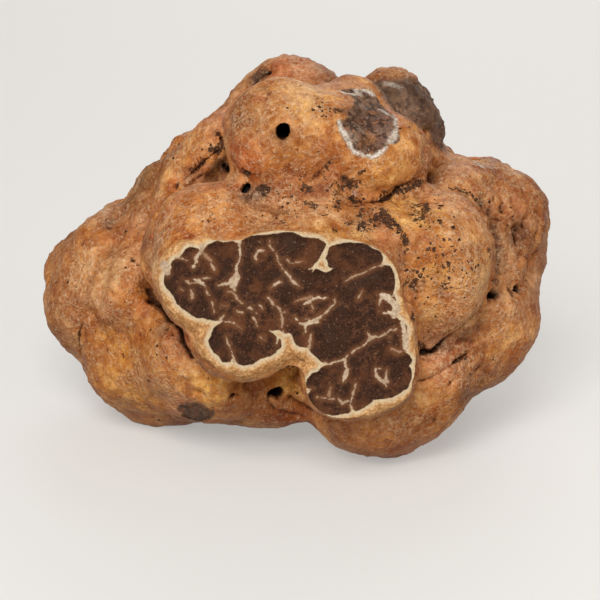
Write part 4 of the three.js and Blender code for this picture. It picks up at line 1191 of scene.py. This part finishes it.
# %% Strew them
CRUMBS = 2400
USUAL, SMALLEST, LARGEST = 0.048, 0.02, 0.14  # half their size
LARGE = 0.08
PRESSED = 0.45  # how flat they lie against the skin
THIN = 0.08  # soil too thin for crumbs
mesh.calc_loop_triangles()
corners = np.empty(len(mesh.loop_triangles) * 3, dtype=np.int64)
mesh.loop_triangles.foreach_get("vertices", corners)
corners = corners.reshape(-1, 3)
corners = corners[~on_cut[corners].all(1)]
a, b, c = (points[corners[:, k]] for k in range(3))
area = np.linalg.norm(np.cross(b - a, c - a), axis=1) / 2
thickness = np.clip(soil[corners].mean(1), 0, 1)
gathered = step(-0.1, 0.5, clouds(points, 1.2, 2, seed=51))[corners].mean(1)
weight = area * np.clip(thickness - THIN, 0.01, 0.7) * (0.15 + gathered)
chosen = rng.choice(len(corners), CRUMBS, p=weight / weight.sum())
s, t = rng.random(CRUMBS), rng.random(CRUMBS)
s, t = np.where(s + t > 1, 1 - s, s), np.where(s + t > 1, 1 - t, t)
spots = a[chosen] + (b - a)[chosen] * s[:, None] + (c - a)[chosen] * t[:, None]
outwards = normals[corners[chosen, 0]]
size = USUAL * np.exp(0.55 * rng.standard_normal(CRUMBS)) * (0.8 + 0.8 * thickness[chosen])
size = np.clip(size, SMALLEST, LARGEST)

verts, faces, shades, count = [], [], [], 0
for k in range(CRUMBS):
    form, sides = FINE if size[k] > LARGE else PLAIN[rng.integers(len(PLAIN))]
    turn = np.array(Vector(rng.standard_normal(3)).to_track_quat("Z", "Y").to_matrix())
    stretch = 0.5 + 1.0 * rng.random(3)
    put = (form * stretch) @ turn.T * size[k]
    put = put - PRESSED * (put @ outwards[k])[:, None] * outwards[k] + spots[k]
    put[:, 2] = np.maximum(put[:, 2], 0.0)
    verts.append(put)
    faces.append(sides + count)
    shades.append(np.full(len(form), rng.random()))
    count += len(form)
crumb_mesh = bpy.data.meshes.new("soil_crumbs")
crumb_mesh.from_pydata((np.concatenate(verts) * MM).tolist(), [], np.concatenate(faces).tolist())
crumb_mesh.update()
crumbs = new_piece("soil_crumbs", crumb_mesh)
keep_numbers(crumb_mesh, "shade", np.concatenate(shades))
print("crumbs:", CRUMBS, "with", len(crumb_mesh.polygons), "faces")


# %% [markdown]
# ## Finishes
# A finish is a net of nodes. Sums and products of values are written as plain sums and products; the small
# class below turns each into a Math node. A colour is laid over another or tinted, as paint is, with Mix
# nodes.

# %% Node bench
class Value:
    """A number or colour that flows between nodes."""

    def __init__(self, bench, socket):
        self.bench, self.socket = bench, socket

    def math(self, operation, first, second):
        return self.bench.node("ShaderNodeMath", {0: first, 1: second}, operation=operation)

    def __add__(self, other):
        return self.math("ADD", self, other)

    def __sub__(self, other):
        return self.math("SUBTRACT", self, other)

    def __rsub__(self, other):
        return self.math("SUBTRACT", other, self)

    def __mul__(self, other):
        return self.math("MULTIPLY", self, other)

    def __abs__(self):
        return self.math("ABSOLUTE", self, 0)

    def over(self, share, colour):
        """Lays another colour over this one."""
        self.socket = self.bench.mix(share, self, colour).socket

    def tint(self, share, low, high):
        """Multiplies this colour by a tint that goes from low to high as the share goes from 0 to 1."""
        self.socket = self.bench.mix(1.0, self, self.bench.mix(share, low, high), "MULTIPLY").socket

    __radd__ = __add__
    __rmul__ = __mul__


class Finish:
    """A material and the nodes that make it."""

    def __init__(self, name):
        self.material = bpy.data.materials.new(name)
        self.material.use_nodes = True
        self.nodes = self.material.node_tree.nodes
        self.links = self.material.node_tree.links
        self.nodes.clear()
        self.place = self.node("ShaderNodeTexCoord", {}, "Object")

    def node(self, kind, sockets, out=0, **settings):
        made = self.nodes.new(kind)
        for key, value in settings.items():
            setattr(made, key, value)
        for key, value in sockets.items():
            if isinstance(value, Value):
                self.links.new(value.socket, made.inputs[key])
            else:
                made.inputs[key].default_value = value
        return Value(self, made.outputs[out])

    def number(self, name):
        return self.node("ShaderNodeAttribute", {}, "Fac", attribute_name=name)

    def colour(self, name):
        return self.node("ShaderNodeAttribute", {}, "Color", attribute_name=name)

    def noise(self, size, detail=2.0, rough=0.5, bend=0.0):
        """Cloudy noise round 0.5, with lumps of that size in millimetres."""
        sockets = {"Vector": self.place, "Scale": 1 / (size * MM), "Detail": detail, "Roughness": rough,
                   "Distortion": bend}
        return self.node("ShaderNodeTexNoise", sockets)

    def sway(self, *noise):
        """The same noise round 0."""
        return self.noise(*noise) - 0.5

    def blots(self, low, high, *noise):
        """Blots of noise: 0 where it is below low, 1 where it is above high."""
        return self.step(low, high, self.noise(*noise))

    def cells(self, size, out="Distance", bend=0.0, **settings):
        """Cells of that size, their places bent by a noise."""
        place = self.place
        if bend:
            sockets = {"Vector": self.place, "Scale": 1 / (size * MM), "Detail": 3.0}
            place = self.mix(bend * size * MM, place, self.node("ShaderNodeTexNoise", sockets, "Color"))
        sockets = {"Vector": place, "Scale": 1 / (size * MM)}
        return self.node("ShaderNodeTexVoronoi", sockets, out, **settings)

    def step(self, low, high, value):
        sockets = {"Value": value, "From Min": low, "From Max": high}
        return self.node("ShaderNodeMapRange", sockets, interpolation_type="SMOOTHSTEP")

    def mix(self, share, a, b, how="MIX"):
        """A colour between a and b."""
        a, b = (c if isinstance(c, Value) else (*c, 1) for c in (a, b))
        return self.node("ShaderNodeMix", {0: share, 6: a, 7: b}, 2, data_type="RGBA", blend_type=how)

    def bump(self, height, strength, distance):
        sockets = {"Height": height, "Strength": strength, "Distance": distance * MM}
        return self.node("ShaderNodeBump", sockets)

    def surface(self, colour, roughness, more):
        """Ends the finish with its shader and gives the material."""
        sockets = {"Base Color": colour, "Roughness": roughness, **more}
        shader = self.node("ShaderNodeBsdfPrincipled", sockets)
        output = self.nodes.new("ShaderNodeOutputMaterial")
        self.links.new(shader.socket, output.inputs["Surface"])
        print(self.material.name, "has", len(self.nodes), "nodes")
        return self.material


# %% [markdown]
# ## The skin's finish
# Close to, the skin is a thin crust: honey-coloured windows between a net of pale ridges, with tiny pits,
# pale grains and freckles of soil. Each is a noise with a threshold, laid over the wash; the bump follows
# the same noises, so that what is pale stands proud and what is dark lies low.

# %% Skin: mottling, net, grains
f = Finish("truffle_skin")
patches = f.noise(2.4, 3, 0.55)
skin_colour = f.colour("wash")
for blot, dark, light in [((0.36, 0.64, 3.4, 3, 0.55), (0.87, 0.72, 0.49), (1.06, 1.07, 0.99)),
                          ((0.40, 0.60, 1.9, 3, 0.5), (0.86, 0.75, 0.62), (1.12, 1.19, 1.26)),
                          ((0.34, 0.66, 1.1, 4, 0.6), (0.80, 0.66, 0.50), (1.14, 1.22, 1.30)),
                          ((0.30, 0.70, 0.38, 3, 0.6), (0.86, 0.77, 0.67), (1.10, 1.15, 1.21))]:
    skin_colour.tint(f.blots(*blot), dark, light)
pale = f.mix(0.55, skin_colour, linear(244, 206, 164))
crust = f.number("crust")
threads = f.step(0.05, 0.01, abs(f.sway(1.0, 2, 0.5))) * f.step(0.50, 0.62, patches)
flecks = f.step(0.50, 0.66, f.noise(0.34, 4, 0.6) + 0.07 * crust)
flecks = flecks * f.step(0.40, 0.62, f.noise(1.6, 2) + 0.22 * crust)
pores = f.blots(0.35, 0.27, 0.26, 3, 0.55)
grain = f.noise(0.14, 3, 0.65)
crusty = f.step(0.40, 0.62, f.noise(2.0, 3, 0.6) + 0.25 * crust)
seams = f.step(0.15, 0.02, f.cells(0.80, bend=0.7, feature="DISTANCE_TO_EDGE")) * crusty
dots = f.step(0.42, 0.16, f.cells(0.34, bend=0.5)) * f.step(0.44, 0.58, patches + 0.22 * crust)
windows = f.cells(0.80, "Color", bend=0.7)
skin_colour.tint(windows, (0.82, 0.70, 0.56), (1.16, 1.24, 1.32))
skin_colour.over(0.26 * seams, pale)
skin_colour.over(0.50 * dots, pale)
skin_colour.over(0.15 * threads, pale)
skin_colour.over(0.75 * flecks, pale)
skin_colour.tint(pores, (1.02, 1.02, 1.02), (0.52, 0.38, 0.30))
skin_colour.tint(f.step(0.32, 0.68, grain), (0.92, 0.88, 0.84), (1.06, 1.08, 1.10))
# painted highlight: small pale glints laid into the colour
painted_glints = f.step(0.15, 0.07, f.cells(0.42)) * f.blots(0.48, 0.6, 0.8, 2)
skin_colour.over(0.55 * painted_glints, linear(250, 230, 204))

# %% Skin: dirt and shade
open_value = f.number("openness")
ragged_edge = f.sway(0.35, 4, 0.65)
# painted shade with some dirt: the colour is darkened where the skin is hollow
dirt_and_shade = f.step(0.03, 0.17, f.number("hollow") + 0.08 * ragged_edge)
skin_colour.tint(dirt_and_shade, (1.03, 1.03, 1.03), (0.52, 0.40, 0.30))
# painted shade: dark brown laid where little light reaches, read from the openness
shut = f.step(0.60, 0.20, open_value + 0.12 * ragged_edge)
skin_colour.over(0.85 * shut, linear(52, 30, 18))
# painted shade: a dark line laid along the narrow creases
lines = f.step(0.35, 0.90, f.number("crease_shade") + 1.3 * ragged_edge)
skin_colour.over(0.80 * lines, linear(62, 36, 22))

# %% Skin: scars and the greyed lobe
crackle = f.noise(0.42, 4, 0.65)
streaks = f.noise(0.9, 4, 0.7, 0.5)
lobe_share = f.step(-0.1, 0.5, f.number("lobe") + 1.1 * f.sway(1.6, 3, 0.6))
lobe_colour = f.mix(f.step(0.36, 0.62, streaks), linear(62, 44, 34), linear(119, 91, 71))
lobe_colour.tint(f.blots(0.34, 0.66, 2.2, 3, 0.6), (0.72, 0.68, 0.64), (1.25, 1.22, 1.18))
lobe_colour.over(0.6 * f.blots(0.60, 0.70, 0.7, 3, 0.6), linear(160, 112, 74))
lobe_colour.over(0.5 * flecks, linear(160, 140, 124))
skin_colour.over(0.88 * lobe_share, lobe_colour)
scar_share = f.step(-0.05, 0.10, f.number("scar") + 0.45 * ragged_edge)
chunks = f.noise(0.62, 4, 0.6)
scar_colour = f.colour("wash")
scar_colour.tint(f.step(0.40, 0.56, chunks), (0.42, 0.38, 0.36), (1.35, 1.32, 1.30))
scar_colour.over(0.6 * f.step(0.57, 0.64, streaks), linear(156, 136, 120))
scar_colour.over(0.7 * f.blots(0.58, 0.63, 0.75, 3, 0.6), linear(156, 100, 60))
scar_colour.over(0.6 * f.blots(0.62, 0.69, 0.22, 3, 0.6), linear(190, 170, 150))
scar_colour.tint(f.step(0.3, 0.65, crackle), (0.74, 0.70, 0.68), (1.14, 1.14, 1.14))
skin_colour.over(0.94 * scar_share, scar_colour)

# %% Skin: chalk, rim, and painted shade in pits and deep clefts
chalk_value = f.number("chalk_depth") + 0.50 * ragged_edge + 0.12 * f.sway(0.16, 3, 0.6)
chalk_share = f.step(-0.16, 0.10, chalk_value) * f.number("chalk_tone")
chalk_colour = f.mix(f.blots(0.4, 0.65, 0.2, 4, 0.65), linear(238, 226, 210), linear(172, 148, 128))
skin_colour.over(0.92 * chalk_share, chalk_colour)
near_rim = f.step(0.40, 0.02, f.number("rim_gap") + 0.5 * ragged_edge)
skin_colour.over(0.40 * near_rim, linear(214, 166, 108))
# painted shade: pits darkened by their depth, and near black where the skin is most shut in
skin_colour.over(0.92 * f.step(0.30, 0.75, f.number("pit")), linear(24, 13, 9))
skin_colour.over(0.92 * f.step(0.26, 0.10, open_value), linear(22, 12, 8))

# %% Skin: soil
soil_value = f.number("soil")
soil_colour = f.mix(f.blots(0.4, 0.6, 0.2, 3, 0.6), linear(36, 21, 14), linear(88, 56, 36))
film = f.step(0.56, 0.61, 0.71 * soil_value + 1.45 * f.sway(0.24, 4, 0.66))
specks = f.step(0.64, 0.67, f.noise(0.34, 5, 0.72) + 0.18 * (soil_value - 0.4))
skin_colour.over(0.92 * film, soil_colour)
skin_colour.over(0.92 * specks, soil_colour)

# %% Skin: relief and gloss
skin_height = 0.08 * threads + 0.2 * seams + 0.35 * dots + 0.25 * flecks + 0.5 * f.noise(0.5, 4, 0.6)
skin_height = skin_height + 0.3 * grain - 0.5 * pores
skin_height = skin_height + 0.4 * film + 0.9 * scar_share * chunks + 0.3 * chalk_share
skin_rough = 0.42 + 0.16 * f.noise(0.8) + 0.25 * chalk_share + 0.3 * film + 0.12 * threads + 0.2 * scar_share
skin_look = {"Normal": f.bump(skin_height, 0.9, 0.18), "Specular IOR Level": 0.22}
mesh.materials[0] = f.surface(skin_colour, skin_rough, skin_look)


# %% [markdown]
# ## The flesh's finish
# The dark flesh is a fine mosaic of spore-bearing tissue, chocolate brown with rusty patches; the veins
# and the rind are whitish and a little ragged. Signed depths from the reading of the face give their
# edges.

# %% Flesh
f = Finish("truffle_flesh")
fine = f.noise(0.13, 4, 0.7)
coarse = f.noise(2.0, 3, 0.55)
wobble = 0.40 * f.sway(0.42, 3, 0.6) + 0.22 * f.sway(0.14, 3, 0.6)
flesh_colour = f.mix(f.step(0.34, 0.66, fine), linear(39, 22, 14), linear(75, 46, 31))
flesh_colour.tint(f.blots(0.35, 0.65, 0.5, 3, 0.6), (0.84, 0.80, 0.76), (1.16, 1.18, 1.2))
flesh_colour.over(0.50 * f.step(0.50, 0.68, coarse), linear(112, 66, 38))
flesh_colour.over(0.35 * f.step(0.45, 0.30, coarse), linear(70, 52, 42))
flesh_colour.over(0.5 * f.blots(0.64, 0.72, 0.2, 2, 0.5), linear(152, 120, 92))
veinlets = f.step(0.035, 0.0, abs(f.sway(1.3, 3, 0.55))) * f.blots(0.45, 0.6, 2.6, 2)
flesh_colour.over(0.45 * veinlets, linear(118, 76, 50))
vein_value = f.number("vein") + wobble
halo = f.step(-0.50, 0.0, vein_value + 0.3 * f.sway(0.7, 2))
flesh_colour.over(0.55 * halo, linear(126, 80, 50))
vein_colour = f.mix(f.number("tone"), linear(138, 92, 60), linear(216, 194, 166))
vein_colour.over(0.65 * f.blots(0.40, 0.62, 0.3, 4, 0.65), linear(160, 126, 96))

# %% Rind round the flesh, and the lip that rolls over
depth = f.number("gleba") + 0.5 * wobble
outwards_depth = -1.0 * f.number("gleba")
uneven = f.sway(0.6, 3, 0.6)
broken = f.noise(0.6, 3, 0.6) * 0.7 + outwards_depth
stripes = f.node("ShaderNodeMath", {0: broken * 17.0}, operation="SINE") * f.blots(0.40, 0.62, 1.1, 2)
tan = f.mix(f.blots(0.35, 0.65, 0.5, 4, 0.6), linear(186, 134, 82), linear(228, 182, 128))
tan.tint(0.5 + 0.5 * stripes, (0.90, 0.86, 0.82), (1.07, 1.09, 1.11))
tan.tint(f.blots(0.34, 0.64, 0.20, 4, 0.65), (0.84, 0.77, 0.70), (1.10, 1.13, 1.16))
tan.over(0.45 * f.blots(0.56, 0.66, 0.8, 4, 0.65), linear(150, 88, 44))
tan.over(0.6 * f.step(0.85, 1.55, outwards_depth + 0.5 * uneven), linear(168, 114, 66))
rind = f.mix(f.step(0.12, 0.55, outwards_depth + 0.55 * uneven), linear(214, 192, 158), tan)
rind.tint(f.blots(0.3, 0.7, 0.2, 3, 0.6), (0.86, 0.80, 0.72), (1.06, 1.07, 1.08))
flesh_colour.over(f.step(0.05, -0.05, depth), rind)
flesh_colour.over(f.step(-0.06, 0.05, vein_value), vein_colour)
lip_soil = f.step(0.56, 0.66, 0.74 * f.number("soil") + 1.3 * f.sway(0.28, 5, 0.7))
flesh_colour.over(0.85 * lip_soil * f.step(0.1, 0.3, outwards_depth), linear(70, 42, 24))
lip_share = f.step(0.3, 0.5, outwards_depth)
flesh_height = f.noise(0.16, 4, 0.65) + lip_share * (0.25 * stripes + 0.9 * f.noise(0.45, 4, 0.65))
flesh_look = {"Normal": f.bump(flesh_height, 0.7, 0.12), "Specular IOR Level": 0.12}
mesh.materials.append(f.surface(flesh_colour, 0.62 + 0.2 * fine, flesh_look))


# %% [markdown]
# ## The crumbs' finish
# Earth on a truffle is dull and dark brown, and dries to fawn; a few grains in it are sand. Each crumb
# carries one number, which says how dry it is, so that neighbours differ as real crumbs do.

# %% Soil
f = Finish("dry_soil")
shade = f.number("shade")
earth = f.mix(shade, linear(46, 28, 18), linear(112, 74, 48))
earth.over(f.step(0.90, 0.93, shade), linear(176, 122, 76))
earth.over(f.step(0.975, 0.985, shade), linear(190, 160, 132))
earth.tint(f.blots(0.35, 0.6, 0.08, 3, 0.6), (0.7, 0.66, 0.62), (1.1, 1.1, 1.1))
earth_look = {"Normal": f.bump(f.noise(0.06, 3), 0.6, 0.03), "Specular IOR Level": 0.2}
crumb_mesh.materials.append(f.surface(earth, 0.8 - 0.2 * f.noise(0.2), earth_look))


# %% [markdown]
# ## Floor and light
# A pale floor and soft studio light from above and in front, as a window gives, with a weaker fill from
# the other side. The floor looks pale to the camera and in reflections, but throws less light back up at
# the truffle than white card would, so that the creases and the underside keep their depth.

# %% Floor
bpy.ops.mesh.primitive_plane_add(size=1.2, location=(0, 0, 0))
floor = bpy.context.object
floor.name = "floor"
f = Finish("pale_floor")
camera_ray, glossy_ray, clear_ray = (f.node("ShaderNodeLightPath", {}, f"Is {kind} Ray")
                                     for kind in ("Camera", "Glossy", "Transmission"))
lit = camera_ray + glossy_ray + clear_ray
floor_colour = f.mix(lit, linear(140, 128, 112), linear(190, 188, 184))
floor_colour.over(0.03 * f.noise(4.0), linear(150, 148, 144))
glow = f.mix(lit, (0, 0, 0), linear(236, 234, 230))
floor_look = {"Emission Color": glow, "Emission Strength": 0.42}
floor.data.materials.append(f.surface(floor_colour, 0.7, floor_look))


# %% Lights
MIDDLE = Vector((0, 0, 0.015))  # of the truffle, in metres


def soft_light(name, place, size, power):
    bpy.ops.object.light_add(type="AREA", location=place)
    light = bpy.context.object
    light.name = name
    light.data.size = size
    light.data.energy = power
    light.rotation_euler = (Vector(place) - MIDDLE).to_track_quat("Z", "Y").to_euler()
    print("light:", name, power, "W")


soft_light("window", (-0.05, -0.29, 0.28), 0.20, 1.20)
soft_light("fill", (0.32, -0.20, 0.14), 0.30, 0.36)
soft_light("low fill", (-0.26, -0.26, 0.07), 0.25, 0.34)
soft_light("back fill", (0.06, 0.34, 0.20), 0.30, 0.50)

# %% The room
world = bpy.data.worlds.new("room")
bpy.context.scene.world = world
world.use_nodes = True
room = world.node_tree
path = room.nodes.new("ShaderNodeLightPath")
choose = room.nodes.new("ShaderNodeMix")
choose.data_type = "RGBA"
choose.inputs[6].default_value = (0.19, 0.18, 0.165, 1)  # what lights the truffle
choose.inputs[7].default_value = (*linear(240, 239, 236), 1)  # what the camera sees
room.links.new(path.outputs["Is Camera Ray"], choose.inputs[0])
room.links.new(choose.outputs[2], room.nodes["Background"].inputs["Color"])
bpy.context.scene.view_settings.view_transform = "Standard"


# %% [markdown]
# ## Into the model's node
# The skin and the crumbs are one body in the hand, so both ride with the model's one node; the truffle
# stands in for its measured model.

# %% Pieces, smooth shading
for piece in (truffle, crumbs):
    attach(piece, "root")
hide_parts("truffle")
pick_only(truffle)
bpy.ops.object.shade_smooth_by_angle(angle=math.radians(55))
